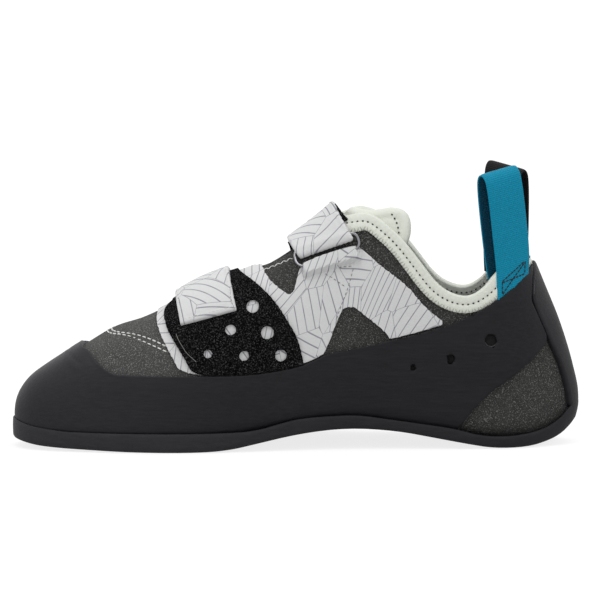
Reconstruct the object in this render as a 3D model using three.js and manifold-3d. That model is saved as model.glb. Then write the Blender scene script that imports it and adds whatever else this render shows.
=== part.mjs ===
// Climbing shoe with two straps, right foot, in millimetres.
// X runs from toe to heel, +Y to the outer side, +Z up, and the sole stands on Z = 0.
import * as THREE from "three";
import Module from "manifold-3d";

const wasm = await Module();
wasm.setup();

// Sizes of the last, the form inside the upper
const lastLength = 253.7;
const ballWidth = 82;
const instepHeight = 104;
const heelHeight = 90;
const waistHeight = 15.2;

// Thicknesses, from the inside out
const gap = 0.3;
const upperWall = 2.2;
const panelThick = 0.8;
const baseThick = 1.0;
const strapThick = 2.2;
const randThick = 2.2;
const heelStripThick = 2.5;
const bindingTurn = 1.0;
const tongueThick = 3.6;
const insoleThick = 3;
const insoleSeat = 0.5;

// Sizes of the smaller features
const lipReach = 0.6;
const soleBevel = 1;
const feather = 9;
const bindingWidth = 7;
const bindingRise = 0.9;
const strapWidth = 27;
const ringWire = 1.4;
const ringLength = 32;
const ringBreadth = 9;
const ringCorner = 0.85;
const slit = 0.9;
const frontReach = 15;
const rearReach = 27;
const foldDepth = 8;
const tabDepth = 8;
const baseHoleRadius = 2.9;
const randHoleRadius = 2.8;
const webWidth = 19;
const webThick = 1.4;
const webTurn = 0.55;
const loopGap = 7.9;
const loopTop = 128.5;
const innerLean = 0.11;
const outerLean = 0.03;

// Fineness of the grids
const upperSteps = 12;
const lowerSteps = 8;
const ringSteps = 20;
const wireSides = 6;
const holeSides = 8;

// Offsets of the layers from the last
const panelIn = upperWall + gap;
const panelOut = panelIn + panelThick;
const baseIn = panelOut + gap;
const baseOut = baseIn + baseThick;
const endIn = baseOut + gap;
const endOut = endIn + strapThick;
const randOut = panelIn + randThick;
const soleOut = randOut + lipReach;
const ringLevel = (baseIn + endOut) / 2;

// Reach of the cutting forms past the shoe
const past = 80;

function table(columns, rows) {
  return rows.map((row) => Object.fromEntries(columns.map((name, i) => [name, row[i]])));
}

// Sections of the last from the toe to the heel's back.
// at is a share of lastLength, inner, outer and ridge of ballWidth, base and wide of waistHeight,
// top of instepHeight in front and of heelHeight behind. corner and crown are the powers that
// square the lower and the upper half of a section.
const columns = ["at", "inner", "outer", "base", "wide", "top", "ridge", "corner", "crown"];
const frontRows = table(columns, [
  [0, -0.159, -0.159, 0.987, 0.987, 0.144, -0.159, 2.6, 2],
  [0.0024, -0.226, -0.091, 0.816, 0.987, 0.188, -0.159, 3.2, 2],
  [0.0095, -0.276, -0.032, 0.737, 0.954, 0.231, -0.159, 3.8, 2.1],
  [0.0252, -0.332, 0.044, 0.658, 0.921, 0.281, -0.159, 4.4, 2.2],
  [0.0508, -0.378, 0.129, 0.605, 0.888, 0.327, -0.159, 5, 2.3],
  [0.0844, -0.415, 0.211, 0.579, 0.855, 0.379, -0.159, 5, 2.3],
  [0.1238, -0.444, 0.293, 0.559, 0.855, 0.444, -0.152, 5, 2.2],
  [0.1711, -0.473, 0.371, 0.559, 0.855, 0.51, -0.134, 5, 2.1],
  [0.2223, -0.491, 0.434, 0.559, 0.855, 0.55, -0.116, 5, 2],
  [0.2775, -0.498, 0.484, 0.559, 0.888, 0.612, -0.098, 5, 2],
  [0.3327, -0.483, 0.516, 0.559, 0.921, 0.685, -0.079, 5, 2],
  [0.3918, -0.441, 0.529, 0.605, 1.02, 0.742, -0.061, 5, 2],
  [0.4509, -0.395, 0.52, 0.763, 1.217, 0.798, -0.043, 4.8, 2],
  [0.5061, -0.356, 0.495, 0.921, 1.382, 0.885, -0.024, 4.6, 2],
  [0.5652, -0.324, 0.459, 1, 1.48, 0.995, -0.012, 4.5, 2],
  [0.6165, -0.307, 0.427, 0.987, 1.48, 1.115, 0, 4.5, 2],
  [0.6717, -0.3, 0.395, 0.855, 1.414, 1.207, 0.006, 4.5, 2],
  [0.7347, -0.298, 0.368, 0.684, 1.316, 1.25, 0.006, 4.6, 2],
  [0.7978, -0.3, 0.349, 0.5, 1.217, 1.25, 0.006, 4.8, 2],
]);
const heelRows = table(columns, [
  [0.849, -0.295, 0.332, 0.362, 1.184, 1.378, 0.006, 4.8, 2],
  [0.8845, -0.279, 0.309, 0.329, 1.184, 1.169, 0.006, 4.6, 2],
  [0.916, -0.249, 0.273, 0.329, 1.217, 0.956, 0.006, 4.2, 2],
  [0.9417, -0.207, 0.227, 0.355, 1.283, 0.78, 0.005, 3.8, 2],
  [0.9633, -0.161, 0.176, 0.421, 1.349, 0.631, 0.004, 3.4, 2],
  [0.9807, -0.115, 0.124, 0.566, 1.382, 0.484, 0.002, 3, 2],
  [0.9925, -0.071, 0.076, 0.776, 1.382, 0.36, 0.001, 2.6, 2],
  [0.9984, -0.032, 0.033, 1.066, 1.368, 0.284, 0, 2.2, 2],
  [1, 0, 0, 1.349, 1.349, 0.228, 0, 2, 2],
]);

function sized(row, height) {
  const wide = row.wide * waistHeight;
  return {
    x: (row.at - 0.5) * lastLength,
    inner: row.inner * ballWidth,
    outer: row.outer * ballWidth,
    ridge: row.ridge * ballWidth,
    base: row.base * waistHeight,
    wide,
    top: row.inner === row.outer ? wide : row.top * height,
    corner: row.corner,
    crown: row.crown,
  };
}
const sections = [
  ...frontRows.map((row) => sized(row, instepHeight)),
  ...heelRows.map((row) => sized(row, heelHeight)),
];
const lastSection = sections.length - 1;

// Side outlines: along is a share of lastLength from the toe, up a share of instepHeight
function side(rows) {
  return table(["along", "up"], rows).map(
    ({ along, up }) => new THREE.Vector2((along - 0.5) * lastLength, up * instepHeight),
  );
}
const randEdge = side([
  [0.107, 0.461], [0.118, 0.45], [0.129, 0.419], [0.144, 0.382], [0.159, 0.355], [0.175, 0.344],
  [0.284, 0.34], [0.396, 0.338], [0.45, 0.348], [0.505, 0.371], [0.532, 0.398], [0.557, 0.429],
  [0.616, 0.453], [0.671, 0.484], [0.727, 0.517], [0.78, 0.557], [0.819, 0.596], [0.856, 0.648],
  [0.911, 0.738], [0.929, 0.793], [0.939, 0.826], [0.96, 0.9],
]);
const windowFront = side([[0.966, 0.472], [0.911, 0.342], [0.848, 0.241], [0.79, 0.07]]);
const heelStripEdge = side([
  [0.939, 0.83], [0.935, 0.718], [0.933, 0.654], [0.966, 0.472], [0.984, 0.38], [0.999, 0.263],
  [1.005, 0.16],
]);
const toeCapEdge = side([[-0.1, 0.5], [0.1, 0.5]]);
const randTop = [...toeCapEdge, ...randEdge];
const collarEdge = side([
  [0.588, 1.014], [0.618, 1.035], [0.639, 1.029], [0.66, 0.996], [0.692, 0.927], [0.727, 0.819],
  [0.75, 0.742], [0.773, 0.696], [0.801, 0.671], [0.823, 0.677], [0.846, 0.717], [0.861, 0.767],
  [0.892, 0.827], [0.923, 0.865], [0.948, 0.885],
]);
const lipLine = side([
  [-0.03, 0.135], [-0.019, 0.13], [0.012, 0.106], [0.058, 0.092], [0.1, 0.085], [0.388, 0.084],
  [0.432, 0.095], [0.469, 0.12], [0.506, 0.142], [0.579, 0.151], [0.616, 0.151], [0.672, 0.131],
  [0.727, 0.112], [0.79, 0.09], [0.837, 0.057], [0.892, 0.052], [0.948, 0.072], [0.984, 0.118],
  [1.003, 0.173], [1.03, 0.21],
]);
const underLine = side([
  [-0.03, 0.045], [0.009, 0.026], [0.041, 0.016], [0.132, 0.007], [0.214, 0], [0.333, 0],
  [0.38, 0.009], [0.413, 0.025], [0.506, 0.073], [0.593, 0.094], [0.682, 0.08], [0.752, 0.048],
  [0.814, 0.02], [0.861, 0], [0.924, 0], [0.963, 0.021], [0.985, 0.044], [1.003, 0.079],
  [1.03, 0.14],
]);

// Printed panels and loop-faced bases, as their side outlines
const innerPanelEdge = side([
  [0.25, 0.8], [0.246, 0.607], [0.242, 0.584], [0.249, 0.524], [0.269, 0.436], [0.293, 0.33],
  [0.55, 0.33], [0.55, 0.426], [0.564, 0.501], [0.579, 0.598], [0.585, 0.623], [0.597, 0.631],
  [0.607, 0.629], [0.619, 0.602], [0.649, 0.546], [0.674, 0.487], [0.674, 0.4], [0.8, 0.5],
  [0.776, 0.553], [0.732, 0.638], [0.704, 0.726], [0.662, 0.801], [0.619, 0.888], [0.608, 0.91],
  [0.507, 0.82], [0.501, 0.765], [0.495, 0.706], [0.486, 0.681], [0.432, 0.792], [0.436, 0.93],
]);
const outerPanelEdge = side([
  [0.246, 0.48], [0.262, 0.42], [0.281, 0.3], [0.674, 0.4], [0.8, 0.5], [0.776, 0.553],
  [0.732, 0.638], [0.704, 0.726], [0.662, 0.801], [0.619, 0.888], [0.569, 0.93], [0.518, 0.846],
  [0.467, 0.75], [0.427, 0.66], [0.393, 0.585], [0.29, 0.505],
]);
const frontBaseEdge = side([
  [0.277, 0.9], [0.277, 0.661], [0.261, 0.636], [0.255, 0.603], [0.263, 0.543], [0.272, 0.506],
  [0.296, 0.416], [0.315, 0.33], [0.514, 0.33], [0.514, 0.386], [0.504, 0.492], [0.486, 0.571],
  [0.462, 0.662], [0.428, 0.747], [0.399, 0.784], [0.385, 0.95],
]);
const rearBaseEdge = side([
  [0.45, 1.1], [0.482, 0.915], [0.492, 0.8], [0.494, 0.65], [0.502, 0.52], [0.515, 0.3],
  [0.69, 0.4], [0.688, 0.52], [0.678, 0.66], [0.655, 0.8], [0.615, 0.93], [0.57, 1.08], [0.53, 1.2],
]);

// Holes, with their size as a share of the largest: in the front base and in the rand
const baseHoles = table(["along", "up", "size"], [
  [0.42, 0.641, 1], [0.38, 0.541, 0.82], [0.447, 0.526, 1], [0.339, 0.438, 0.65],
  [0.405, 0.426, 0.76], [0.472, 0.424, 0.89],
]);
const randHoles = table(["along", "up", "size"], [
  [0.713, 0.364, 0.5], [0.781, 0.401, 0.73], [0.855, 0.483, 1],
]);

// Value of an open side line at a place along X
function heightAt(line, x) {
  const last = line.length - 1;
  const k = Math.min(Math.max(line.findIndex((point) => point.x > x), 1), last);
  const t = Math.min(Math.max((x - line[k - 1].x) / (line[k].x - line[k - 1].x), 0), 1);
  return THREE.MathUtils.lerp(line[k - 1].y, line[k].y, x > line[last].x ? 1 : t);
}

// A section between the rows, by a curve through the four nearest ones
function blend(a, b, c, d, t) {
  const curve = new THREE.CatmullRomCurve3();
  curve.points = [a, b, c, d].map((value) => new THREE.Vector3(value, 0, 0));
  curve.curveType = "catmullrom";
  curve.tension = 0.5;
  return curve.getPoint((1 + t) / 3).x;
}
function sectionAt(station) {
  const k = Math.min(Math.floor(station), lastSection - 1);
  const t = station - k;
  const near = [k - 1, k, k + 1, k + 2].map(
    (i) => sections[THREE.MathUtils.clamp(i, 0, lastSection)],
  );
  if (t === 0) return sections[k];
  if (t === 1) return sections[k + 1];
  return Object.fromEntries(
    Object.keys(near[0]).map((name) => [name, blend(...near.map((row) => row[name]), t)]),
  );
}

// Point of the last: turn 0 is the outer side, a quarter the ridge, a half the inner side
function lastPoint(station, turn) {
  const row = sectionAt(station);
  const c = Math.cos(turn);
  const s = Math.sin(turn);
  const half = (row.outer - row.inner) / 2;
  const middle = (row.outer + row.inner) / 2;
  const power = s < 0 ? row.corner : row.crown;
  const rise = Math.abs(s) ** (2 / power);
  const lean = s > 0 ? (row.ridge - middle) * rise * rise : 0;
  const y = middle + lean + half * Math.sign(c) * Math.abs(c) ** (2 / power);
  const z = s < 0 ? row.wide - (row.wide - row.base) * rise : row.wide + (row.top - row.wide) * rise;
  return new THREE.Vector3(row.x, y, z);
}
const probe = 1e-3;
function lastNormal(station, turn) {
  if (station <= 0) return new THREE.Vector3(-1, 0, 0);
  if (station >= lastSection) return new THREE.Vector3(1, 0, 0);
  const before = lastPoint(Math.max(station - probe, 0), turn);
  const after = lastPoint(Math.min(station + probe, lastSection), turn);
  const along = after.sub(before);
  const around = lastPoint(station, turn + probe).sub(lastPoint(station, turn - probe));
  return around.cross(along).normalize();
}
function skinPoint(station, turn, offset) {
  return lastPoint(station, turn).addScaledVector(lastNormal(station, turn), offset);
}

// Point of an offset skin that a side view shows at x, z on one side, -1 inner and 1 outer
function sidePoint(x, z, offset, which) {
  const aim = new THREE.Vector2(x, z);
  let point;
  for (let pass = 0; pass < 8; pass += 1) {
    let low = 0;
    let high = lastSection;
    for (let cut = 0; cut < 30; cut += 1) {
      const middle = (low + high) / 2;
      if (sectionAt(middle).x < aim.x) low = middle;
      else high = middle;
    }
    const row = sectionAt(low);
    const share = THREE.MathUtils.clamp((aim.y - row.wide) / (row.top - row.wide), 0, 1);
    const lift = Math.asin(share ** (row.crown / 2));
    point = skinPoint(low, which > 0 ? lift : Math.PI - lift, offset);
    aim.x += x - point.x;
    aim.y += z - point.z;
  }
  return point;
}

// A closed solid from rings of points, with flat strips across its two ends
function loft(rings, looped = false) {
  const points = [];
  const places = new Map();
  const triangles = [];
  const indexOf = (point) => {
    const key = point.toArray().map((value) => Math.round(value * 1e5)).join();
    if (!places.has(key)) {
      places.set(key, points.length / 3);
      points.push(...point.toArray());
    }
    return places.get(key);
  };
  const face = (...corners) => {
    const [a, b, c] = corners.map(indexOf);
    if (a !== b && b !== c && c !== a) triangles.push(a, b, c);
  };
  const count = rings[0].length;
  const spans = looped ? rings.length : rings.length - 1;
  for (let i = 0; i < spans; i += 1) {
    const here = rings[i];
    const next = rings[(i + 1) % rings.length];
    for (let j = 0; j < count; j += 1) {
      const k = (j + 1) % count;
      face(here[j], here[k], next[k]);
      face(here[j], next[k], next[j]);
    }
  }
  if (!looped) {
    const first = rings[0];
    const final = rings[rings.length - 1];
    for (let i = 0, j = count - 1; i + 1 < j; i += 1, j -= 1) {
      face(first[i], first[j], first[j - 1]);
      face(first[i], first[j - 1], first[i + 1]);
      face(final[i], final[j - 1], final[j]);
      face(final[i], final[i + 1], final[j - 1]);
    }
  }
  return solid(points, triangles);
}
function solid(points, triangles) {
  const mesh = new wasm.Mesh({
    numProp: 3,
    vertProperties: new Float32Array(points),
    triVerts: new Uint32Array(triangles),
  });
  return new wasm.Manifold(mesh);
}

// Turns of a section: finer steps above the widest level than below it
const turns = [
  ...Array.from({ length: upperSteps }, (_, j) => (j / upperSteps) * Math.PI),
  ...Array.from({ length: lowerSteps }, (_, j) => (1 + j / lowerSteps) * Math.PI),
];

// Closed skin at an offset from the last, and the shell between two skins
const skins = new Map();
function skin(offset) {
  if (!skins.has(offset)) {
    const rings = sections.map((row, station) => turns.map((turn) => skinPoint(station, turn, offset)));
    skins.set(offset, loft(rings));
  }
  return skins.get(offset);
}
function shell(inside, outside) {
  return skin(outside).subtract(skin(inside));
}

// Solid of a side outline drawn through the shoe from one Y to another
function slab(outline, from = -past, to = past) {
  const shape = new THREE.Shape(outline);
  const geometry = new THREE.ExtrudeGeometry(shape, { depth: to - from, bevelEnabled: false, steps: 1 });
  geometry.rotateX(Math.PI / 2);
  geometry.translate(0, to, 0);
  return fromGeometry(geometry);
}
function fromGeometry(geometry) {
  const position = geometry.attributes.position;
  const points = [];
  const places = new Map();
  const triangles = [];
  for (let i = 0; i < position.count; i += 1) {
    const corner = new THREE.Vector3().fromBufferAttribute(position, i);
    const key = corner.toArray().map((value) => Math.round(value * 1e4)).join();
    if (!places.has(key)) {
      places.set(key, points.length / 3);
      points.push(...corner.toArray());
    }
    triangles.push(places.get(key));
  }
  const kept = [];
  for (let i = 0; i < triangles.length; i += 3) {
    const [a, b, c] = triangles.slice(i, i + 3);
    if (a !== b && b !== c && c !== a) kept.push(a, b, c);
  }
  return solid(points, kept);
}

// An open line moved sideways, to its left as it runs
function shifted(line, distance) {
  return line.map((point, i) => {
    const before = line[Math.max(i - 1, 0)];
    const after = line[Math.min(i + 1, line.length - 1)];
    const run = after.clone().sub(before).normalize();
    return new THREE.Vector2(point.x - run.y * distance, point.y + run.x * distance);
  });
}
// The region above or below an open line that runs from toe to heel
function above(line) {
  const first = line[0];
  const final = line[line.length - 1];
  return [...line, new THREE.Vector2(final.x, 3 * past), new THREE.Vector2(first.x, 3 * past)];
}
function below(line) {
  const first = line[0];
  const final = line[line.length - 1];
  return [new THREE.Vector2(first.x, -past), new THREE.Vector2(final.x, -past), ...[...line].reverse()];
}

// Plan outline of the last moved out by a distance, as a ring at heights along X.
// It leaves out the sections that are narrower than a width.
function planRing(distance, height, narrowest = 0) {
  const edge = (name, sign) => sections.flatMap((row, i) => {
    if (row.outer - row.inner < narrowest) return [];
    const before = sections[Math.max(i - 1, 0)];
    const after = sections[Math.min(i + 1, lastSection)];
    const run = new THREE.Vector2(after.x - before.x, after[name] - before[name]).normalize();
    const end = i === 0 || i === lastSection;
    const x = row.x + (end ? Math.sign(i - 1) * distance : -sign * run.y * distance);
    const y = row[name] + (end ? 0 : sign * run.x * distance);
    return [new THREE.Vector3(x, y, height(x))];
  });
  return [...edge("inner", -1), ...edge("outer", 1).reverse()];
}
const baseLine = sections.map((row) => new THREE.Vector2(row.x, row.base));
const boardEnd = 3 * feather;

const parts = new THREE.Group();
parts.name = "climbing_shoe";
function piece(name, body, colour, roughness, metalness = 0) {
  const mesh = body.getMesh();
  const geometry = new THREE.BufferGeometry();
  geometry.setAttribute("position", new THREE.BufferAttribute(mesh.vertProperties.slice(), 3));
  geometry.setIndex([...mesh.triVerts]);
  geometry.computeVertexNormals();
  const material = new THREE.MeshStandardMaterial({ color: colour, roughness, metalness });
  const node = new THREE.Mesh(geometry, material);
  node.name = name;
  parts.add(node);
}

// Opening of the collar, and the slot of the throat in front of it
const throat = table(["along", "half"], [
  [0.424, 0.02], [0.43, 0.07], [0.45, 0.1], [0.5, 0.115], [0.6, 0.135], [0.66, 0.16],
]).map(({ along, half }) => ({ x: (along - 0.5) * lastLength, half: half * ballWidth }));
const throatCentre = -0.012 * ballWidth;
function throatSlot(extra = 0) {
  const bottom = instepHeight / 2;
  const rings = [bottom, 2 * instepHeight].map((z) => [
    ...throat.map(({ x, half }) => new THREE.Vector3(x - extra, throatCentre - half - extra, z)),
    ...[...throat].reverse().map(
      ({ x, half }) => new THREE.Vector3(x - extra, throatCentre + half + extra, z),
    ),
  ]);
  return loft(rings);
}
function collarCut() {
  const start = new THREE.Vector2(collarEdge[0].x - bindingRise - gap, collarEdge[0].y);
  return slab(above([start, ...collarEdge]));
}

// Upper: one wall around the last, open at collar, throat and under the foot
function makeUpper() {
  const under = loft([
    planRing(-feather, (x) => heightAt(baseLine, x) - feather, boardEnd),
    planRing(-feather, (x) => heightAt(baseLine, x) + upperWall / 2, boardEnd),
  ]);
  const body = shell(0, upperWall).subtract(collarCut()).subtract(throatSlot()).subtract(under);
  piece("upper", body, 0x4a4a48, 0.9);
}

// Insole: a board inside the upper with a foot that fills the opening under it.
// Its edge slopes out and up with the upper: shares of the feather and of the board's thickness.
const boardEdge = table(["inset", "rise"], [[1, 0.28], [0.72, 0.72], [0.38, 1]]);
function makeInsole() {
  const layer = (inset, rise) => planRing(-inset, (x) => heightAt(baseLine, x) + rise, boardEnd);
  const body = loft([
    layer(feather + gap, insoleSeat - upperWall),
    layer(feather + gap, boardEdge[0].rise * insoleThick),
    ...boardEdge.map(({ inset, rise }) => layer(inset * feather, rise * insoleThick)),
  ]);
  piece("insole", body, 0x6f6a60, 0.9);
}

// Outsole: outline of the last with a lip around the upper
function makeOutsole() {
  const under = (x) => heightAt(underLine, x);
  const body = loft([
    planRing(soleOut - soleBevel, under),
    planRing(soleOut, (x) => under(x) + soleBevel),
    planRing(soleOut, () => instepHeight / 2),
  ]);
  piece("outsole", body.intersect(slab(below(lipLine))).subtract(skin(panelIn)), 0x26262a, 0.7);
}

// Tongue: a padded layer inside the throat, rising above the collar in front of the ankle
function makeTongue() {
  const outline = side([
    [0.39, 0.6], [0.5, 0.72], [0.57, 0.81], [0.62, 0.86], [0.68, 0.88], [0.707, 0.92],
    [0.707, 1.066], [0.6, 1.075], [0.55, 1.1], [0.39, 0.9],
  ]);
  const outside = -bindingTurn - 2 * gap;
  piece("tongue", shell(outside - tongueThick, outside).intersect(slab(outline)), 0xd9dcd2, 0.6);
}

// A flat frame in the side view: u runs across the strap and v up along it
function frame(along, up, tilt) {
  const centre = side([[along, up]])[0];
  const place = (u, v) => new THREE.Vector2(u, v).rotateAround(new THREE.Vector2(), tilt).add(centre);
  const quad = (left, right, low, high) => [
    place(left, low), place(right, low), place(right, high), place(left, high),
  ];
  return { place, quad };
}
const half = strapWidth / 2;
const frontStrap = frame(0.325, 0.74, 0.244);
const frontRing = frame(0.3435, 0.558, 0.244);
const rearStrap = frame(0.525, 0.997, 0.571);
const rearRing = frame(0.5555, 0.885, 0.314);

// Wire ring and the tunnel around it: a round section swept along a rounded oblong on a skin
function ringSweep(ring, which, radius) {
  const reach = (ringLength - ringWire) / 2;
  const rise = (ringBreadth - ringWire) / 2;
  const corner = rise * ringCorner;
  const outline = new THREE.Shape();
  outline.absarc(reach - corner, rise - corner, corner, 0, Math.PI / 2);
  outline.absarc(corner - reach, rise - corner, corner, Math.PI / 2, Math.PI);
  outline.absarc(corner - reach, corner - rise, corner, Math.PI, 1.5 * Math.PI);
  outline.absarc(reach - corner, corner - rise, corner, 1.5 * Math.PI, 2 * Math.PI);
  outline.closePath();
  const flat = outline.getSpacedPoints(ringSteps).slice(0, ringSteps);
  const onSkin = (point, level) => {
    const spot = ring.place(point.x, point.y);
    return sidePoint(spot.x, spot.y, level, which);
  };
  const path = flat.map((point) => onSkin(point, ringLevel));
  const lifted = flat.map((point) => onSkin(point, ringLevel + 1));
  const rings = path.map((centre, i) => {
    const before = path[(i + ringSteps - 1) % ringSteps];
    const after = path[(i + 1) % ringSteps];
    const run = after.clone().sub(before).normalize();
    const across = run.clone().cross(lifted[i].clone().sub(centre)).normalize();
    const out = across.clone().cross(run);
    return Array.from({ length: wireSides }, (_, j) => {
      const angle = (-j / wireSides) * 2 * Math.PI;
      return centre.clone()
        .addScaledVector(across, radius * Math.cos(angle))
        .addScaledVector(out, radius * Math.sin(angle));
    });
  });
  return loft(rings, true);
}
const tunnelRadius = ringWire / 2 + gap;
const tabOut = ringLevel + tunnelRadius + panelThick;

function halfSlab(outline, which) {
  return which < 0 ? slab(outline, -past, 0) : slab(outline, 0, past);
}
function pegs(holes, radius, which) {
  return holes.map(({ along, up, size }) => {
    const centre = side([[along, up]])[0];
    const ring = Array.from({ length: holeSides }, (_, j) => {
      const angle = (j / holeSides) * 2 * Math.PI;
      return new THREE.Vector2(Math.cos(angle), Math.sin(angle)).multiplyScalar(radius * size).add(centre);
    });
    return halfSlab(ring, which);
  }).reduce((all, peg) => all.add(peg));
}
const randZone = slab(below(shifted(randTop, gap)));
const bindingLow = shifted(collarEdge, -bindingWidth);

// Rand: rubber wall from the lip of the sole up to its edge, with a window at each heel side
function makeRand() {
  const heel = [
    ...shifted(heelStripEdge.slice(0, 4), -gap), ...windowFront.slice(1),
    ...side([[0.79, -0.3], [1.2, -0.3], [1.2, 1.3], [0.939, 1.3]]),
  ];
  const body = shell(panelIn, randOut)
    .intersect(slab(below(randTop)))
    .subtract(slab(below(shifted(lipLine, gap))))
    .subtract(slab(heel))
    .subtract(pegs(randHoles, randHoleRadius, -1))
    .subtract(pegs(randHoles, randHoleRadius, 1));
  piece("rand", body, 0x2a2a2e, 0.65);
}

// Heel strip: rubber up the back of the heel, over the binding at its tip
function makeHeelStrip() {
  const outline = [...heelStripEdge, ...side([[1.2, 0.16], [1.2, 0.83]])];
  const body = shell(panelIn, panelIn + heelStripThick)
    .intersect(slab(outline))
    .subtract(slab(below(shifted(lipLine, gap))))
    .subtract(skin(baseIn).intersect(slab(above(shifted(bindingLow, -gap)))));
  piece("heel_strip", body, 0x26262a, 0.7);
}

// Binding: leather folded over the collar's edge
function makeBinding() {
  const band = [...bindingLow, ...shifted(collarEdge, bindingRise).reverse()];
  const wall = shell(-gap, panelIn).intersect(slab(below(shifted(collarEdge, gap))));
  const body = shell(-gap - bindingTurn, panelOut)
    .intersect(slab(band))
    .subtract(wall)
    .subtract(randZone);
  piece("collar_binding", body, 0xd9dcd2, 0.6);
}

// Printed panels, each with a tab folded over the lower bar of its ring
function makePanel(name, outline, which, ring) {
  const tab = ring.quad(-half, half, -tabDepth - slit, -slit);
  const body = shell(panelIn, panelOut)
    .intersect(halfSlab(outline, which))
    .subtract(halfSlab(ring.quad(-half, half, -slit, tabDepth), which))
    .add(shell(panelIn, tabOut).intersect(halfSlab(tab, which)))
    .subtract(throatSlot(panelThick))
    .subtract(randZone)
    .subtract(slab(above(shifted(bindingLow, -gap))))
    .subtract(ringSweep(ring, which, tunnelRadius));
  piece(name, body, 0xd4d4d4, 0.8);
}

// Loop-faced base of a strap: a patch on one side, and a band over the instep to the ring
function makeBase(name, outline, which, strap, ring, holes) {
  const band = [
    ring.place(-half, foldDepth + 2 * slit), ring.place(half, foldDepth + 2 * slit),
    strap.place(half, 0), strap.place(half, past / 2), strap.place(-half, past / 2), strap.place(-half, 0),
  ];
  const body = shell(baseIn, baseOut)
    .intersect(halfSlab(outline, which).add(halfSlab(band, -which)))
    .subtract(randZone);
  piece(name, holes ? body.subtract(pegs(holes, baseHoleRadius, which)) : body, 0x1c1c1c, 1);
}

// Printed end of a strap: from its free end over the instep, folded round the ring's upper bar
function makeEnd(name, which, strap, ring, reach) {
  const free = strap.quad(-half, half, -reach, past / 2);
  const band = [
    ring.place(-half, slit), ring.place(half, slit),
    strap.place(half, 0), strap.place(half, past / 2), strap.place(-half, past / 2), strap.place(-half, 0),
  ];
  const fold = ring.quad(-half, half, slit, foldDepth + slit);
  const body = shell(endIn, endOut)
    .intersect(halfSlab(free, which).add(halfSlab(band, -which)))
    .add(shell(baseIn, endOut).intersect(halfSlab(fold, -which)))
    .subtract(ringSweep(ring, -which, tunnelRadius));
  piece(name, body, 0xd4d4d4, 0.8);
}

// Pull loop: a hairpin of webbing astride the collar, reach from the outer leg, rise to the top
const hairpin = table(["reach", "rise"], [
  [0, 0], [0, 0.35], [0.01, 0.7], [0.1, 0.91], [0.3, 0.985], [0.5, 1], [0.7, 0.985], [0.9, 0.91],
  [0.99, 0.7], [1, 0.35], [0.95, 0], [0.84, -0.24],
]);
function makeLoop(name, which, lean, colour) {
  const level = baseIn + webThick / 2;
  const out = new THREE.Vector3(Math.sin(webTurn), which * Math.cos(webTurn), 0);
  const flat = new THREE.Vector3(Math.cos(webTurn), -which * Math.sin(webTurn), lean).normalize();
  const roots = side([[0.899, 0.66], [0.898, 0.74], [0.896, 0.83]]);
  const legs = roots.map((spot) => sidePoint(spot.x, spot.y, level, which));
  const foot = legs[legs.length - 1];
  const height = loopTop - webThick / 2 - foot.z;
  const path = [...legs.slice(0, -1), ...hairpin.map(({ reach, rise }) => foot.clone()
    .addScaledVector(out, -reach * (loopGap + webThick))
    .add(new THREE.Vector3(-lean * rise * height, 0, rise * height)))];
  const rings = path.map((centre, i) => {
    const before = path[Math.max(i - 1, 0)];
    const after = path[Math.min(i + 1, path.length - 1)];
    const thick = after.clone().sub(before).normalize().cross(flat).normalize();
    return [[1, 1], [-1, 1], [-1, -1], [1, -1]].map(([a, b]) => centre.clone()
      .addScaledVector(flat, (a * webWidth) / 2)
      .addScaledVector(thick, (b * webThick) / 2));
  });
  const collar = shell(-gap - bindingTurn - gap, baseIn)
    .intersect(slab(below(shifted(collarEdge, bindingRise + gap))));
  piece(name, loft(rings).subtract(collar).subtract(randZone), colour, 0.85);
}

makeUpper();
makeOutsole();
makeInsole();
makeTongue();
makeRand();
makeHeelStrip();
makeBinding();
makePanel("panel_inner", innerPanelEdge, -1, rearRing);
makePanel("panel_outer", outerPanelEdge, 1, frontRing);
makeBase("strap_base_front", frontBaseEdge, -1, frontStrap, frontRing, baseHoles);
makeBase("strap_base_rear", rearBaseEdge, 1, rearStrap, rearRing);
makeEnd("strap_end_front", -1, frontStrap, frontRing, frontReach);
makeEnd("strap_end_rear", 1, rearStrap, rearRing, rearReach);
piece("ring_front", ringSweep(frontRing, 1, ringWire / 2), 0xb8b8bc, 0.25, 1);
piece("ring_rear", ringSweep(rearRing, -1, ringWire / 2), 0xb8b8bc, 0.25, 1);
makeLoop("pull_loop_inner", -1, innerLean, 0x0f8cab);
makeLoop("pull_loop_outer", 1, outerLean, 0x161618);

// The origin is the middle of the footprint, on the floor
const bounds = new THREE.Box3().setFromObject(parts);
const middle = bounds.getCenter(new THREE.Vector3());
parts.children.forEach((node) => node.geometry.translate(-middle.x, -middle.y, -bounds.min.z));

export default parts;
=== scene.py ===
"""Looks of a climbing shoe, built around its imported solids. Lengths in the tables are millimetres or
shares of the shoe's own sizes. X runs from toe to heel, +Y to the outer side, +Z up."""
import math

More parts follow.
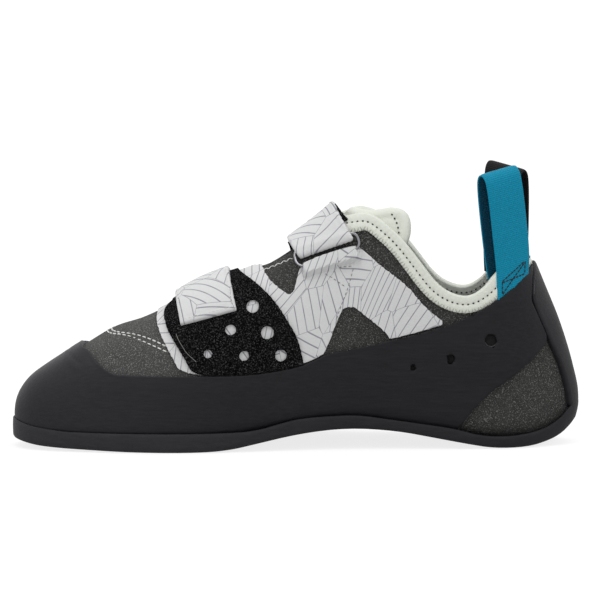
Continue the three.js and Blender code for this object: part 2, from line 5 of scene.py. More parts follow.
import bpy
import numpy as np
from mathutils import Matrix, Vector


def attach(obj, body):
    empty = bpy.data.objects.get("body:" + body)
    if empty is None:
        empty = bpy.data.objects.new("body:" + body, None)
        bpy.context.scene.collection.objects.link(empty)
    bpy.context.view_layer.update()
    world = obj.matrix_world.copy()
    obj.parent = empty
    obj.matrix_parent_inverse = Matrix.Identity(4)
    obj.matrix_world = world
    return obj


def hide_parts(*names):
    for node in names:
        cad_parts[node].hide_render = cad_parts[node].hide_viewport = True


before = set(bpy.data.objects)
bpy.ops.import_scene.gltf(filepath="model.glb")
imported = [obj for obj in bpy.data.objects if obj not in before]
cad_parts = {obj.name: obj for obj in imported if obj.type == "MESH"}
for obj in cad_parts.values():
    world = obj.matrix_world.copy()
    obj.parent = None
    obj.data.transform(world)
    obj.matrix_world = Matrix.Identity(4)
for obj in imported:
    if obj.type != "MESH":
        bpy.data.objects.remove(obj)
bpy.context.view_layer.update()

bl_info = {
    "name": "Climbing Shoe",
    "version": (1, 0, 0),
    "blender": (4, 5, 0),
    "location": "3D View > Sidebar > Shoe",
    "description": "Builds the soft and rubber pieces of a climbing shoe and its stage",
    "category": "Object",
}

MM = 0.001
INNER, OUTER = -1, 1
BOTH = (INNER, OUTER)

# What later pieces take from earlier ones: materials, node groups, the collar's path, a loop's face
MADE = {}

# Sizes of the last, and how far its axis lies from the middle of the shoe
LENGTH, BALL, INSTEP, HEEL, WAIST = 253.7, 82.0, 104.0, 90.0, 15.2
MIDDLE = 1.2716

# at, inner, outer, base, wide, top, ridge, corner, crown: shares of the sizes above
FRONT = [
    (0, -0.159, -0.159, 0.987, 0.987, 0.144, -0.159, 2.6, 2),
    (0.0024, -0.226, -0.091, 0.816, 0.987, 0.188, -0.159, 3.2, 2),
    (0.0095, -0.276, -0.032, 0.737, 0.954, 0.231, -0.159, 3.8, 2.1),
    (0.0252, -0.332, 0.044, 0.658, 0.921, 0.281, -0.159, 4.4, 2.2),
    (0.0508, -0.378, 0.129, 0.605, 0.888, 0.327, -0.159, 5, 2.3),
    (0.0844, -0.415, 0.211, 0.579, 0.855, 0.379, -0.159, 5, 2.3),
    (0.1238, -0.444, 0.293, 0.559, 0.855, 0.444, -0.152, 5, 2.2),
    (0.1711, -0.473, 0.371, 0.559, 0.855, 0.51, -0.134, 5, 2.1),
    (0.2223, -0.491, 0.434, 0.559, 0.855, 0.55, -0.116, 5, 2),
    (0.2775, -0.498, 0.484, 0.559, 0.888, 0.612, -0.098, 5, 2),
    (0.3327, -0.483, 0.516, 0.559, 0.921, 0.685, -0.079, 5, 2),
    (0.3918, -0.441, 0.529, 0.605, 1.02, 0.742, -0.061, 5, 2),
    (0.4509, -0.395, 0.52, 0.763, 1.217, 0.798, -0.043, 4.8, 2),
    (0.5061, -0.356, 0.495, 0.921, 1.382, 0.885, -0.024, 4.6, 2),
    (0.5652, -0.324, 0.459, 1, 1.48, 0.995, -0.012, 4.5, 2),
    (0.6165, -0.307, 0.427, 0.987, 1.48, 1.115, 0, 4.5, 2),
    (0.6717, -0.3, 0.395, 0.855, 1.414, 1.207, 0.006, 4.5, 2),
    (0.7347, -0.298, 0.368, 0.684, 1.316, 1.25, 0.006, 4.6, 2),
    (0.7978, -0.3, 0.349, 0.5, 1.217, 1.25, 0.006, 4.8, 2),
]
REAR = [
    (0.849, -0.295, 0.332, 0.362, 1.184, 1.378, 0.006, 4.8, 2),
    (0.8845, -0.279, 0.309, 0.329, 1.184, 1.169, 0.006, 4.6, 2),
    (0.916, -0.249, 0.273, 0.329, 1.217, 0.956, 0.006, 4.2, 2),
    (0.9417, -0.207, 0.227, 0.355, 1.283, 0.78, 0.005, 3.8, 2),
    (0.9633, -0.161, 0.176, 0.421, 1.349, 0.631, 0.004, 3.4, 2),
    (0.9807, -0.115, 0.124, 0.566, 1.382, 0.484, 0.002, 3, 2),
    (0.9925, -0.071, 0.076, 0.776, 1.382, 0.36, 0.001, 2.6, 2),
    (0.9984, -0.032, 0.033, 1.066, 1.368, 0.284, 0, 2.2, 2),
    (1, 0, 0, 1.349, 1.349, 0.228, 0, 2, 2),
]


def section_table():
    """Rows of the last in millimetres: x, inner, outer, base, wide, top, ridge, corner, crown."""
    scale = np.array([LENGTH, BALL, BALL, WAIST, WAIST, INSTEP, BALL, 1, 1])
    front, rear = np.array(FRONT, float) * scale, np.array(REAR, float) * scale
    rear[:, 5] *= HEEL / INSTEP
    rows = np.vstack([front, rear])
    rows[:, 0] -= LENGTH / 2
    tips = rows[:, 1] == rows[:, 2]
    rows[tips, 5] = rows[tips, 4]
    return rows


ROWS = section_table()
ENDS = len(ROWS) - 1


def smooth(table, places):
    """Rows of a table read off at fractional places, by a smooth curve through them."""
    final = len(table) - 1
    k = np.minimum(places.astype(int), final - 1)
    t = (places - k)[..., None]
    a, b, c, d = (table[np.clip(k + i, 0, final)] for i in (-1, 0, 1, 2))
    slope0, slope1 = (c - a) / 2, (d - b) / 2
    return ((2 * b - 2 * c + slope0 + slope1) * t**3
            + (3 * c - 3 * b - 2 * slope0 - slope1) * t**2 + slope0 * t + b)


def section(s):
    """Section values at stations s."""
    return np.moveaxis(smooth(ROWS, np.clip(s, 0, ENDS)), -1, 0)


def last_point(s, a):
    """Points of the last at stations s and turns a: 0 outer side, a quarter the ridge, a half inner."""
    x, inner, outer, base, wide, top, ridge, corner, crown = section(s)
    c, d = np.cos(a), np.sin(a)
    half, middle = (outer - inner) / 2, (outer + inner) / 2
    power = np.where(d < 0, corner, crown)
    rise = np.abs(d) ** (2 / power)
    lean = np.where(d > 0, (ridge - middle) * rise * rise, 0)
    y = middle + lean + half * np.sign(c) * np.abs(c) ** (2 / power)
    z = np.where(d < 0, wide - (wide - base) * rise, wide + (top - wide) * rise)
    return np.stack([x, y - MIDDLE, z], -1)


def unit(v):
    """Vectors made one long."""
    return v / np.maximum(np.linalg.norm(v, axis=-1, keepdims=True), 1e-12)


def last_normal(s, a):
    """Outward directions of the last."""
    h = 2e-3
    lengthwise = last_point(np.minimum(s + h, ENDS), a) - last_point(np.maximum(s - h, 0), a)
    around = last_point(s, a + h) - last_point(s, a - h)
    normal = unit(np.cross(around, lengthwise))
    normal[s <= 1e-6] = (-1, 0, 0)
    normal[s >= ENDS - 1e-6] = (1, 0, 0)
    return normal


def skin(s, a, offset):
    """Points at an offset from the last."""
    offset = np.asarray(offset, float)
    return last_point(s, a) + last_normal(s, a) * (offset[..., None] if offset.ndim else offset)


FINE_S = np.linspace(0, ENDS, 4000)
FINE_X = section(FINE_S)[0]


def station(x):
    """Stations of the last at places along the shoe."""
    return np.interp(x, FINE_X, FINE_S)


def trace(line, which, offset):
    """Stations and turns where a side view of the inner or outer side shows the points of a line."""
    line = np.asarray(line, float)
    aim = line.copy()
    for _ in range(12):
        s = station(aim[:, 0])
        row = section(s)
        share = np.clip((aim[:, 1] - row[4]) / (row[5] - row[4]), 0, 1)
        lift = np.arcsin(share ** (row[8] / 2))
        a = lift if which == OUTER else math.pi - lift
        aim += 0.9 * (line - skin(s, a, offset)[:, [0, 2]])
    return s, a


def arc(points):
    """Length along a line of points, from its start to each of them."""
    return np.concatenate([[0], np.cumsum(np.linalg.norm(np.diff(points, axis=0), axis=1))])


def read_off(places, run, table):
    """Rows of a table at places along its run."""
    return np.stack([np.interp(places, run, column) for column in table.T], -1)


def side(rows):
    """Side-view points from shares along the last and up the instep."""
    rows = np.array(rows, float)
    return np.stack([(rows[:, 0] - 0.5) * LENGTH, rows[:, 1] * INSTEP], -1)


def rounded(line, passes=3, closed=False):
    """A line with its corners cut smooth."""
    for _ in range(passes):
        after = np.roll(line, -1, 0) if closed else line[1:]
        before = line if closed else line[:-1]
        cut = np.stack([0.75 * before + 0.25 * after, 0.25 * before + 0.75 * after], 1).reshape(-1, 2)
        line = cut if closed else np.vstack([line[:1], cut[1:-1], line[-1:]])
    return line


# Lines of the side view: along the last, up the instep
RAND_EDGE = [
    (0.107, 0.461), (0.118, 0.45), (0.129, 0.419), (0.144, 0.382), (0.159, 0.355), (0.175, 0.344),
    (0.284, 0.34), (0.396, 0.338), (0.45, 0.348), (0.505, 0.371), (0.532, 0.398), (0.557, 0.429),
    (0.616, 0.453), (0.671, 0.484), (0.727, 0.517), (0.78, 0.557), (0.819, 0.596), (0.856, 0.648),
    (0.911, 0.738), (0.929, 0.793), (0.939, 0.826), (0.96, 0.9),
]
RAND_TOP = np.vstack([side([(-0.1, 0.5), (0.1, 0.5)]), rounded(side(RAND_EDGE))])
WINDOW_FRONT = side([(0.966, 0.472), (0.911, 0.342), (0.848, 0.241), (0.79, 0.07)])
STRIP_EDGE = side([
    (0.939, 0.83), (0.935, 0.718), (0.933, 0.654), (0.966, 0.472), (0.984, 0.38), (0.999, 0.263),
    (1.005, 0.16),
])
COLLAR = rounded(side([
    (0.588, 1.014), (0.618, 1.035), (0.639, 1.029), (0.66, 0.996), (0.692, 0.927), (0.727, 0.819),
    (0.75, 0.742), (0.773, 0.696), (0.801, 0.671), (0.823, 0.677), (0.846, 0.717), (0.861, 0.767),
    (0.892, 0.827), (0.923, 0.865), (0.948, 0.885),
]), 2)
LIP = rounded(side([
    (-0.03, 0.135), (-0.019, 0.13), (0.012, 0.106), (0.058, 0.092), (0.1, 0.085), (0.388, 0.084),
    (0.432, 0.095), (0.469, 0.12), (0.506, 0.142), (0.579, 0.151), (0.616, 0.151), (0.672, 0.131),
    (0.727, 0.112), (0.79, 0.09), (0.837, 0.057), (0.892, 0.052), (0.948, 0.072), (0.984, 0.118),
    (1.003, 0.173), (1.03, 0.21),
]), 2)
UNDER = rounded(side([
    (-0.03, 0.045), (0.009, 0.026), (0.041, 0.016), (0.132, 0.007), (0.214, 0), (0.333, 0),
    (0.38, 0.009), (0.413, 0.025), (0.506, 0.073), (0.593, 0.094), (0.682, 0.08), (0.752, 0.048),
    (0.814, 0.02), (0.861, 0), (0.924, 0), (0.963, 0.021), (0.985, 0.044), (1.003, 0.079),
    (1.03, 0.14),
]), 2)
INNER_PANEL = rounded(side([
    (0.25, 0.8), (0.246, 0.607), (0.242, 0.584), (0.249, 0.524), (0.269, 0.436), (0.293, 0.33),
    (0.55, 0.33), (0.55, 0.426), (0.564, 0.501), (0.579, 0.598), (0.585, 0.623), (0.597, 0.631),
    (0.607, 0.629), (0.619, 0.602), (0.649, 0.546), (0.674, 0.487), (0.674, 0.4), (0.8, 0.5),
    (0.776, 0.553), (0.732, 0.638), (0.704, 0.726), (0.662, 0.801), (0.619, 0.888), (0.608, 0.91),
    (0.507, 0.82), (0.501, 0.765), (0.495, 0.706), (0.486, 0.681), (0.432, 0.792), (0.436, 0.93),
]), 2, closed=True)
OUTER_PANEL = rounded(side([
    (0.246, 0.48), (0.262, 0.42), (0.281, 0.3), (0.674, 0.4), (0.8, 0.5), (0.776, 0.553),
    (0.732, 0.638), (0.704, 0.726), (0.662, 0.801), (0.619, 0.888), (0.569, 0.93), (0.518, 0.846),
    (0.467, 0.75), (0.427, 0.66), (0.393, 0.585), (0.29, 0.505),
]), 2, closed=True)
FRONT_BASE = rounded(side([
    (0.277, 0.9), (0.277, 0.661), (0.261, 0.636), (0.255, 0.603), (0.263, 0.543), (0.272, 0.506),
    (0.296, 0.416), (0.315, 0.33), (0.514, 0.33), (0.514, 0.386), (0.504, 0.492), (0.486, 0.571),
    (0.462, 0.662), (0.428, 0.74), (0.4, 0.78), (0.365, 0.83), (0.34, 0.95),
]), 2, closed=True)
REAR_BASE = rounded(side([
    (0.45, 1.1), (0.482, 0.915), (0.492, 0.8), (0.494, 0.65), (0.502, 0.52), (0.515, 0.3),
    (0.69, 0.4), (0.688, 0.52), (0.678, 0.66), (0.655, 0.8), (0.608, 0.93), (0.568, 1.08), (0.53, 1.2),
]), 2, closed=True)
TONGUE_FRONT = [(0.39, 0.6), (0.5, 0.72), (0.57, 0.81), (0.62, 0.86), (0.68, 0.88), (0.7, 0.9)]
INNER_LOBE = [
    (0.708, 0.94), (0.71, 0.99), (0.706, 1.035), (0.694, 1.064), (0.674, 1.074), (0.656, 1.066),
    (0.636, 1.06), (0.61, 1.066),
]
OUTER_LOBE = [
    (0.69, 0.95), (0.665, 1.0), (0.646, 1.03), (0.632, 1.056), (0.614, 1.07), (0.596, 1.064),
    (0.575, 1.05),
]
TONGUE_BACK = [(0.55, 1.1), (0.39, 0.9)]

# Round holes: along the last, up the instep, radius
BASE_HOLES = [
    (0.42, 0.641, 2.9), (0.38, 0.541, 2.4), (0.447, 0.526, 2.9), (0.339, 0.438, 1.9),
    (0.405, 0.426, 2.2), (0.472, 0.424, 2.6),
]
RAND_HOLES = [(0.713, 0.364, 1.4), (0.781, 0.401, 2.04), (0.855, 0.483, 2.8)]

# Soft troughs and ridges of the side view: both ends, width, height
CREASES = [
    (0.078, 0.40, 0.10, 0.47, 2.2, -0.5), (0.20, 0.47, 0.235, 0.42, 5, 0.5),
    (0.17, 0.40, 0.22, 0.38, 4, -0.4), (0.62, 0.52, 0.66, 0.48, 4, -0.5),
]
RAND_CREASES = [(0.084, 0.42, 0.106, 0.388, 0.7, -0.3), (0.078, 0.40, 0.098, 0.372, 1.5, 0.25)]
REAR_FOLDS = [(0.515, 1.0, 0.541, 0.865, 0.5, -0.4), (0.52, 1.0, 0.546, 0.865, 1.2, 0.2)]

# Layers, as offsets from the last
UPPER_OUT = 2.2
PANEL_IN, PANEL_OUT = 2.5, 3.3
BASE_IN, BASE_OUT = 3.6, 4.6
END_IN, END_OUT = 4.9, 7.1
RAND_OUT, STRIP_OUT, SOLE_OUT = 4.7, 5.0, 5.3
TONGUE_IN, TONGUE_OUT = -5.6, -1.5
RING_LEVEL = (BASE_IN + END_OUT) / 2

# Smaller sizes of the pieces
GAP = 0.3
LAP = 1.6
FEATHER = 9.0
COLLAR_WIDTH = 7
TAB_DEPTH, SLOT_HEIGHT, SLIT = 8.9, 8, 0.9
RING_LONG, RING_BROAD, RING_CORNER = 32, 9, 0.85
LOOP_TURN, LOOP_GAP, LOOP_TOP = 0.55, 7.9, 128.5


def shifted(line, distance):
    """An open line moved to its left."""
    run = np.gradient(line, axis=0)
    run /= np.linalg.norm(run, axis=1, keepdims=True)
    return line + np.stack([-run[:, 1], run[:, 0]], -1) * distance


def above(line):
    """The region over an open line of the side view."""
    return np.vstack([line, [line[-1][0], 240], [line[0][0], 240]])


def below(line):
    """The region under an open line of the side view."""
    return np.vstack([[line[0][0], -80], [line[-1][0], -80], line[::-1]])


def inside(points, outline):
    """Signed distance of side-view points from a closed outline, positive inside."""
    best = np.full(len(points), 1e9)
    odd = np.zeros(len(points), bool)
    for p, q in zip(outline, np.roll(outline, -1, 0)):
        edge, arm = q - p, points - p
        reach = edge @ edge
        if reach < 1e-9:
            continue
        t = np.clip(arm @ edge / reach, 0, 1)
        best = np.minimum(best, np.linalg.norm(arm - t[:, None] * edge, axis=1))
        if p[1] != q[1]:
            span = (p[1] > points[:, 1]) != (q[1] > points[:, 1])
            odd ^= span & (points[:, 0] < edge[0] * (points[:, 1] - p[1]) / edge[1] + p[0])
    return np.where(odd, best, -best)


def from_holes(flat, holes):
    """Distance of side-view points from the rims of round holes, negative inside one."""
    return np.min([np.linalg.norm(flat - side([hole[:2]])[0], axis=1) - hole[2] for hole in holes], axis=0)


COLLAR_LOW = shifted(shifted(COLLAR, -COLLAR_WIDTH), -GAP)
RAND_ZONE = below(shifted(RAND_TOP, GAP))
SOLE_ZONE = below(LIP - (0, LAP))


class Strap:
    """A flat frame in the side view: u runs across the strap and v up along it."""

    def __init__(self, along, up, tilt):
        self.centre = side([(along, up)])[0]
        self.turn = np.array([[math.cos(tilt), math.sin(tilt)], [-math.sin(tilt), math.cos(tilt)]])

    def place(self, points):
        """Side-view points from points of the frame."""
        return np.asarray(points, float) @ self.turn + self.centre

    def band(self, low, high):
        """Outline of the strap's width between two heights."""
        half = size("strap_width") / 2
        return self.place([(-half, low), (half, low), (half, high), (-half, high)])


FRONT_STRAP, FRONT_RING = Strap(0.325, 0.74, 0.244), Strap(0.3435, 0.558, 0.244)
REAR_STRAP, REAR_RING = Strap(0.525, 0.997, 0.571), Strap(0.5555, 0.885, 0.314)


def throat(points, extra=0):
    """Signed depth inside the throat's slot, from points in space."""
    x = (np.array([0.424, 0.43, 0.45, 0.5, 0.6, 0.66]) - 0.5) * LENGTH - extra
    half = np.array([0.02, 0.07, 0.1, 0.115, 0.135, 0.16]) * BALL + extra
    across = np.abs(points[:, 1] + MIDDLE + 0.012 * BALL)
    ends = np.minimum(points[:, 0] - x[0], x[-1] + 2 - points[:, 0])
    return np.minimum.reduce([np.interp(points[:, 0], x, half) - across, ends, points[:, 2] - INSTEP / 2])


def size(name):
    """One of the sizes that a user may change, in millimetres."""
    return round(getattr(bpy.context.scene.shoe_sizes, name) / MM, 3)


def picked(obj):
    """Selects one object alone and makes it active."""
    bpy.ops.object.select_all(action="DESELECT")
    obj.select_set(True)
    bpy.context.view_layer.objects.active = obj


def edited(obj, operator, **settings):
    """Runs one edit-mode operator over a whole mesh."""
    picked(obj)
    bpy.ops.object.mode_set(mode="EDIT")
    bpy.ops.mesh.select_all(action="SELECT")
    operator(**settings)
    bpy.ops.object.mode_set(mode="OBJECT")
    return obj


def finished(obj, node, smooth_to=40):
    """Rides on the shoe, stands for its CAD node and gets smooth faces."""
    picked(obj)
    bpy.ops.object.shade_smooth_by_angle(angle=math.radians(smooth_to))
    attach(obj, "root")
    if node:
        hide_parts(node)
    return obj


def from_arrays(name, points, faces, uv, materials):
    """A mesh object from points in millimetres, with a face-corner UV map from per-point values."""
    mesh = bpy.data.meshes.new(name)
    mesh.from_pydata((np.asarray(points) * MM).tolist(), [], [list(map(int, f)) for f in faces])
    if uv is not None:
        layer = mesh.uv_layers.new(name="UVMap")
        index = np.zeros(len(mesh.loops), np.int32)
        mesh.loops.foreach_get("vertex_index", index)
        layer.data.foreach_set("uv", (np.asarray(uv)[index] * MM * 10).astype(np.float32).ravel())
    for label in materials:
        mesh.materials.append(stuff(label))
    obj = bpy.data.objects.new(name, mesh)
    bpy.context.scene.collection.objects.link(obj)
    return obj


def lofted(name, rings, uv, materials):
    """A closed body through rings of points, its two ends capped."""
    n, m = rings.shape[:2]
    start, turn = np.arange(n - 1)[:, None] * m, np.arange(m)
    near, far = start + turn, start + (turn + 1) % m
    walls = np.stack([near, far, far + m, near + m], -1).reshape(-1, 4)
    caps = [list(range(m))[::-1], list(range((n - 1) * m, n * m))]
    return from_arrays(name, rings.reshape(-1, 3), walls.tolist() + caps, uv, materials)


def meridian():
    """Mean length along the last from the toe's tip, at each fine station."""
    turns = np.linspace(0, math.pi, 9)
    paths = last_point(np.repeat(FINE_S[:, None], 9, 1), np.repeat(turns[None], len(FINE_S), 0))
    step = np.linalg.norm(np.diff(paths, axis=0), axis=-1).mean(1)
    return np.concatenate([[0], np.cumsum(step)])


MERIDIAN = meridian()


def lower_turns(step):
    """Turns of the lower half, evenly spaced round its squared corner."""
    a = np.linspace(0, math.pi / 2, 2000)
    side_step, corner, rows_under = 38, 14, 13
    run = arc(np.stack([side_step * np.abs(np.cos(a)) ** 0.42, 8 * np.abs(np.sin(a)) ** 0.42], -1))
    even = np.concatenate([np.linspace(0, corner, int(corner / step) + 1),
                           np.linspace(corner, run[-1], rows_under)[1:]])
    return np.interp(even, run, a)


def grid(step, window):
    """Stations and turns of a fine net over the last, or over a window of it, and its triangles."""
    s = np.interp(np.linspace(0, MERIDIAN[-1], int(MERIDIAN[-1] / step)), MERIDIAN, FINE_S)
    low = lower_turns(step)
    upper = np.linspace(0, math.pi, int(math.pi * 58 / step))
    a = np.concatenate([-low[:0:-1], upper, math.pi + low[1:]])
    if window:
        s = s[(s >= window[0] - 0.5) & (s <= window[1] + 0.5)]
        a = a[(a >= window[2] - 0.15) & (a <= window[3] + 0.15)]
    n, m = len(s), len(a)
    params = np.stack(np.meshgrid(s, a, indexing="ij"), -1).reshape(-1, 2)
    i, j = np.meshgrid(np.arange(n - 1), np.arange(m - 1), indexing="ij")
    p = (i * m + j).ravel()
    odd = ((i + j) % 2).ravel().astype(bool)[:, None]
    corners = np.stack([p, p + 1, p + m + 1, p + m], -1)
    first = np.where(odd, corners[:, [0, 1, 2]], corners[:, [0, 1, 3]])
    second = np.where(odd, corners[:, [0, 2, 3]], corners[:, [1, 2, 3]])
    return params, np.vstack([first, second])


def edges_of(triangles):
    """Directed edges of triangles."""
    return np.vstack([triangles[:, [0, 1]], triangles[:, [1, 2]], triangles[:, [2, 0]]])


def split(params, triangles, values, level):
    """Cuts the net along the curve where values pass a level."""
    rel = values - level
    edges = np.unique(np.sort(edges_of(triangles), 1), axis=0)

    def crossed():
        """Edges that the curve crosses, and where."""
        cut = edges[rel[edges[:, 0]] * rel[edges[:, 1]] < 0]
        return cut, rel[cut[:, 0]] / (rel[cut[:, 0]] - rel[cut[:, 1]])

    crossing, share = crossed()
    moved = set()
    nearest = sorted(zip(crossing.tolist(), share.tolist()), key=lambda item: min(item[1], 1 - item[1]))
    for (p, q), w in nearest:
        near, far, reach = (p, q, w) if w < 0.5 else (q, p, 1 - w)
        if reach > 0.22:
            break
        if near not in moved and far not in moved:
            params[near] += reach * (params[far] - params[near])
            rel[near] = 0
            moved.add(near)
    crossing, share = crossed()
    share = share[:, None]
    index = {(p, q): len(params) + k for k, (p, q) in enumerate(crossing.tolist())}
    params = np.vstack([params, params[crossing[:, 0]] * (1 - share) + params[crossing[:, 1]] * share])
    rel = np.concatenate([rel, np.zeros(len(crossing))])
    sign = np.sign(rel[triangles])
    mixed = (sign.min(1) < 0) & (sign.max(1) > 0)
    made = []
    for a, b, c in triangles[mixed].tolist():
        for _ in range(3):
            if rel[a] == 0 and rel[b] * rel[c] < 0:
                k = index[(min(b, c), max(b, c))]
                made += [(a, b, k), (a, k, c)]
                break
            if rel[a] * rel[b] < 0 and rel[a] * rel[c] < 0:
                k, m = index[(min(a, b), max(a, b))], index[(min(a, c), max(a, c))]
                made += [(a, k, m), (k, b, c), (k, c, m)]
                break
            a, b, c = b, c, a
    triangles = np.vstack([triangles[~mixed], np.array(made, int).reshape(-1, 3)])
    return params, triangles, rel + level


def kept(triangles, *tables):
    """Triangles renumbered to the points that they use, and tables cut to those points."""
    used, triangles = np.unique(triangles, return_inverse=True)
    return triangles.reshape(-1, 3), *(table[used] for table in tables)


def sheet(name, node, slot, materials, depth, layer, edge, step, relief=None, window=None):
    """A piece of sheet on the last, between two offsets, where depth is above zero, its edge rounded.
    A second material goes on its lower face."""
    low, high = layer
    params, triangles = grid(step, window)

    def seen():
        """Points of the upper face, their side view, and which are on the inner side."""
        points = skin(params[:, 0], params[:, 1], high)
        return points, points[:, [0, 2]], params[:, 1] > math.pi / 2

    values = depth(*seen())
    triangles, params, values = kept(triangles[values[triangles].max(1) > 0], params, values)
    for level in (0, 0.15 * edge, 0.5 * edge, edge, 3 * edge):
        params, triangles, values = split(params, triangles, values, level)
        values = np.where(values == level, level, depth(*seen()))
        triangles = triangles[values[triangles].mean(1) > 1e-6]
    triangles, params, values = kept(triangles, params, values)
    values = np.maximum(values, 0)
    share = 1 - np.clip(values / edge, 0, 1)
    top = high - edge * (1 - np.sqrt(np.maximum(1 - share**2, 0)))
    if relief:
        top = top + relief(*seen(), values) * np.clip(values / (2 * edge), 0, 1)
    obj = closed_sheet(name, params, triangles, low, np.maximum(top, low + 0.05), materials)
    return finished(obj, node)


def closed_sheet(name, params, triangles, low, top, materials):
    """The upper and lower faces of a piece of sheet and the wall round them."""
    s, a = params.T
    count = len(params)
    edges = edges_of(triangles).tolist()
    keys = {(p, q) for p, q in edges}
    rim = np.array([(p, q) for p, q in edges if (q, p) not in keys])
    walls = np.vstack([np.stack([rim[:, 1], rim[:, 0], rim[:, 0] + count], -1),
                       np.stack([rim[:, 1], rim[:, 0] + count, rim[:, 1] + count], -1)])
    faces = np.vstack([triangles, triangles[:, ::-1] + count, walls])
    ridge = last_point(s, np.full_like(a, math.pi / 2))
    across = np.sign(a - math.pi / 2) * np.linalg.norm(last_point(s, a) - ridge, axis=1)
    uv = np.stack([np.interp(s, FINE_S, MERIDIAN), across], -1)
    points = np.vstack([skin(s, a, top), skin(s, a, low)])
    obj = from_arrays(name, points, faces, np.vstack([uv, uv]), materials)
    if len(materials) > 1:
        lower = np.zeros(len(faces), np.int32)
        lower[len(triangles):2 * len(triangles)] = 1
        obj.data.polygons.foreach_set("material_index", lower)
    return edited(obj, bpy.ops.mesh.remove_doubles, threshold=0.004 * MM)


def creased(flat, rows):
    """Height added at side-view points by soft troughs and ridges."""
    lift = np.zeros(len(flat))
    for x0, z0, x1, z1, width, height in rows:
        p, q = side([(x0, z0), (x1, z1)])
        t = np.clip((flat - p) @ (q - p) / ((q - p) @ (q - p)), 0, 1)
        away = np.linalg.norm(flat - p - t[:, None] * (q - p), axis=1)
        lift += height * np.exp(-(away / width) ** 2)
    return lift


def make_upper():
    """One suede form, open at the collar, along the throat and under the foot."""
    def depth(points, flat, inner):
        body = -np.maximum(inside(flat, above(np.vstack([COLLAR[0] - (1.2, 0), COLLAR]))), throat(points))
        row = section(station(points[:, 0]))
        across = np.abs(points[:, 1] + MIDDLE - (row[1] + row[2]) / 2)
        opening = np.minimum((row[2] - row[1]) / 2 - FEATHER - across, row[3] + 1.5 - points[:, 2])
        return np.minimum(body, -opening)

    def relief(points, flat, inner, values):
        return creased(flat, CREASES)

    return sheet("suede_upper", "upper", "suede", ["suede"], depth, (0, UPPER_OUT), 0.8, 1.35, relief)


def make_rand():
    """Rubber wall from the sole up to its edge, with a window at each side of the heel and round holes."""
    heel = np.vstack([shifted(STRIP_EDGE[:4], -GAP), rounded(WINDOW_FRONT, 2)[1:],
                      side([(0.79, -0.3), (1.2, -0.3), (1.2, 1.3), (0.939, 1.3)])])

    def depth(points, flat, inner):
        return np.minimum.reduce([inside(flat, below(RAND_TOP)), -inside(flat, SOLE_ZONE),
                                  -inside(flat, heel), from_holes(flat, RAND_HOLES)])

    def relief(points, flat, inner, values):
        """Thinner towards its upper edge, slightly uneven from the lasting, creased at the toe."""
        x, z = flat.T
        top = np.maximum(inside(flat, below(RAND_TOP)), 0)
        return (0.12 * np.sin(x / 9.0 + z / 14) * np.sin(z / 6.5 - x / 23) - 0.5 * np.exp(-top / 2.5)
                + creased(flat, RAND_CREASES))

    return sheet("rubber_rand", "rand", "rand_rubber", ["rubber"], depth, (PANEL_IN, RAND_OUT), 0.9, 1.1,
                 relief)


def make_hole_shade():
    """Near-black discs behind the round holes of the rand: painted shade for the holes' shadowed insides."""
    def depth(points, flat, inner):
        return 0.7 - from_holes(flat, RAND_HOLES)

    return sheet("rand_hole_painted_shade", None, "rand_rubber", ["black_ground"], depth,
                 (UPPER_OUT + 0.05, PANEL_IN), 0.1, 1.1)


def make_heel_strip():
    """Rubber strip round the back of the heel, up to a tip at the collar."""
    outline = np.vstack([rounded(STRIP_EDGE, 2), side([(1.2, 0.16), (1.2, 0.83)])])

    def depth(points, flat, inner):
        return np.minimum(inside(flat, outline), -inside(flat, SOLE_ZONE))

    return sheet("heel_strip_rubber", "heel_strip", "heel_rubber", ["sole"], depth,
                 (PANEL_IN, STRIP_OUT), 1.0, 0.9)


def make_panel(name, node, outline, which, ring):
    """Printed side panel, its tab folded up over the wire of a ring."""
    tab, slot = ring.band(-TAB_DEPTH, -SLIT), ring.band(-SLIT, SLOT_HEIGHT)

    def depth(points, flat, inner):
        value = np.minimum.reduce([inside(flat, outline), -inside(flat, slot), -throat(points, 0.8),
                                   -inside(flat, RAND_ZONE), -inside(flat, above(COLLAR_LOW))])
        return np.where(inner == (which == INNER), value, -1e3)

    def relief(points, flat, inner, values):
        lifted = np.clip(inside(flat, tab) / 1.2 + 0.4, 0, 1)
        return lifted * (RING_LEVEL + size("ring_wire") - PANEL_OUT)

    return sheet(name, node, "printed_panel", ["panel"], depth, (PANEL_IN, PANEL_OUT), 0.35, 1.0, relief)


def strap_depth(near_outline, far_outline, which):
    """Region of a strap piece from its outlines on its own side and on the other one."""
    def depth(points, flat, inner):
        row = section(station(points[:, 0]))
        outer = np.clip((points[:, 1] + MIDDLE - row[6]) / 3 + 0.5, 0, 1)
        own = outer if which == OUTER else 1 - outer
        value = own * inside(flat, near_outline) + (1 - own) * inside(flat, far_outline)
        return np.minimum(value, -inside(flat, RAND_ZONE))
    return depth


def band_to(strap, ring, start, more=0):
    """Side outline of a strap from the ring up over the instep."""
    half = size("strap_width") / 2 + more
    return np.vstack([ring.place([(-half, start), (half, start)]),
                      strap.place([(half, 0), (half, 40), (-half, 40), (-half, 0)])])


def make_base(name, node, outline, which, strap, ring, holes):
    """Loop-faced base of a strap, from its own side over the instep to the other side's ring."""
    own = strap_depth(outline, band_to(strap, ring, 9.8, 0.4), which)

    def depth(points, flat, inner):
        value = own(points, flat, inner)
        if holes:
            value = np.where(inner == (which == INNER), np.minimum(value, from_holes(flat, holes)), value)
        return value

    def pile(points, flat, inner, values):
        x, z = flat.T
        return 0.18 * np.sin(x * 2.1 + 1.3 * np.sin(z * 1.7)) * np.sin(z * 2.3 + 1.1 * np.sin(x * 1.9))

    return sheet(name, node, "loop_face", ["pile"], depth, (BASE_IN, BASE_OUT), 0.5, 0.8, pile)


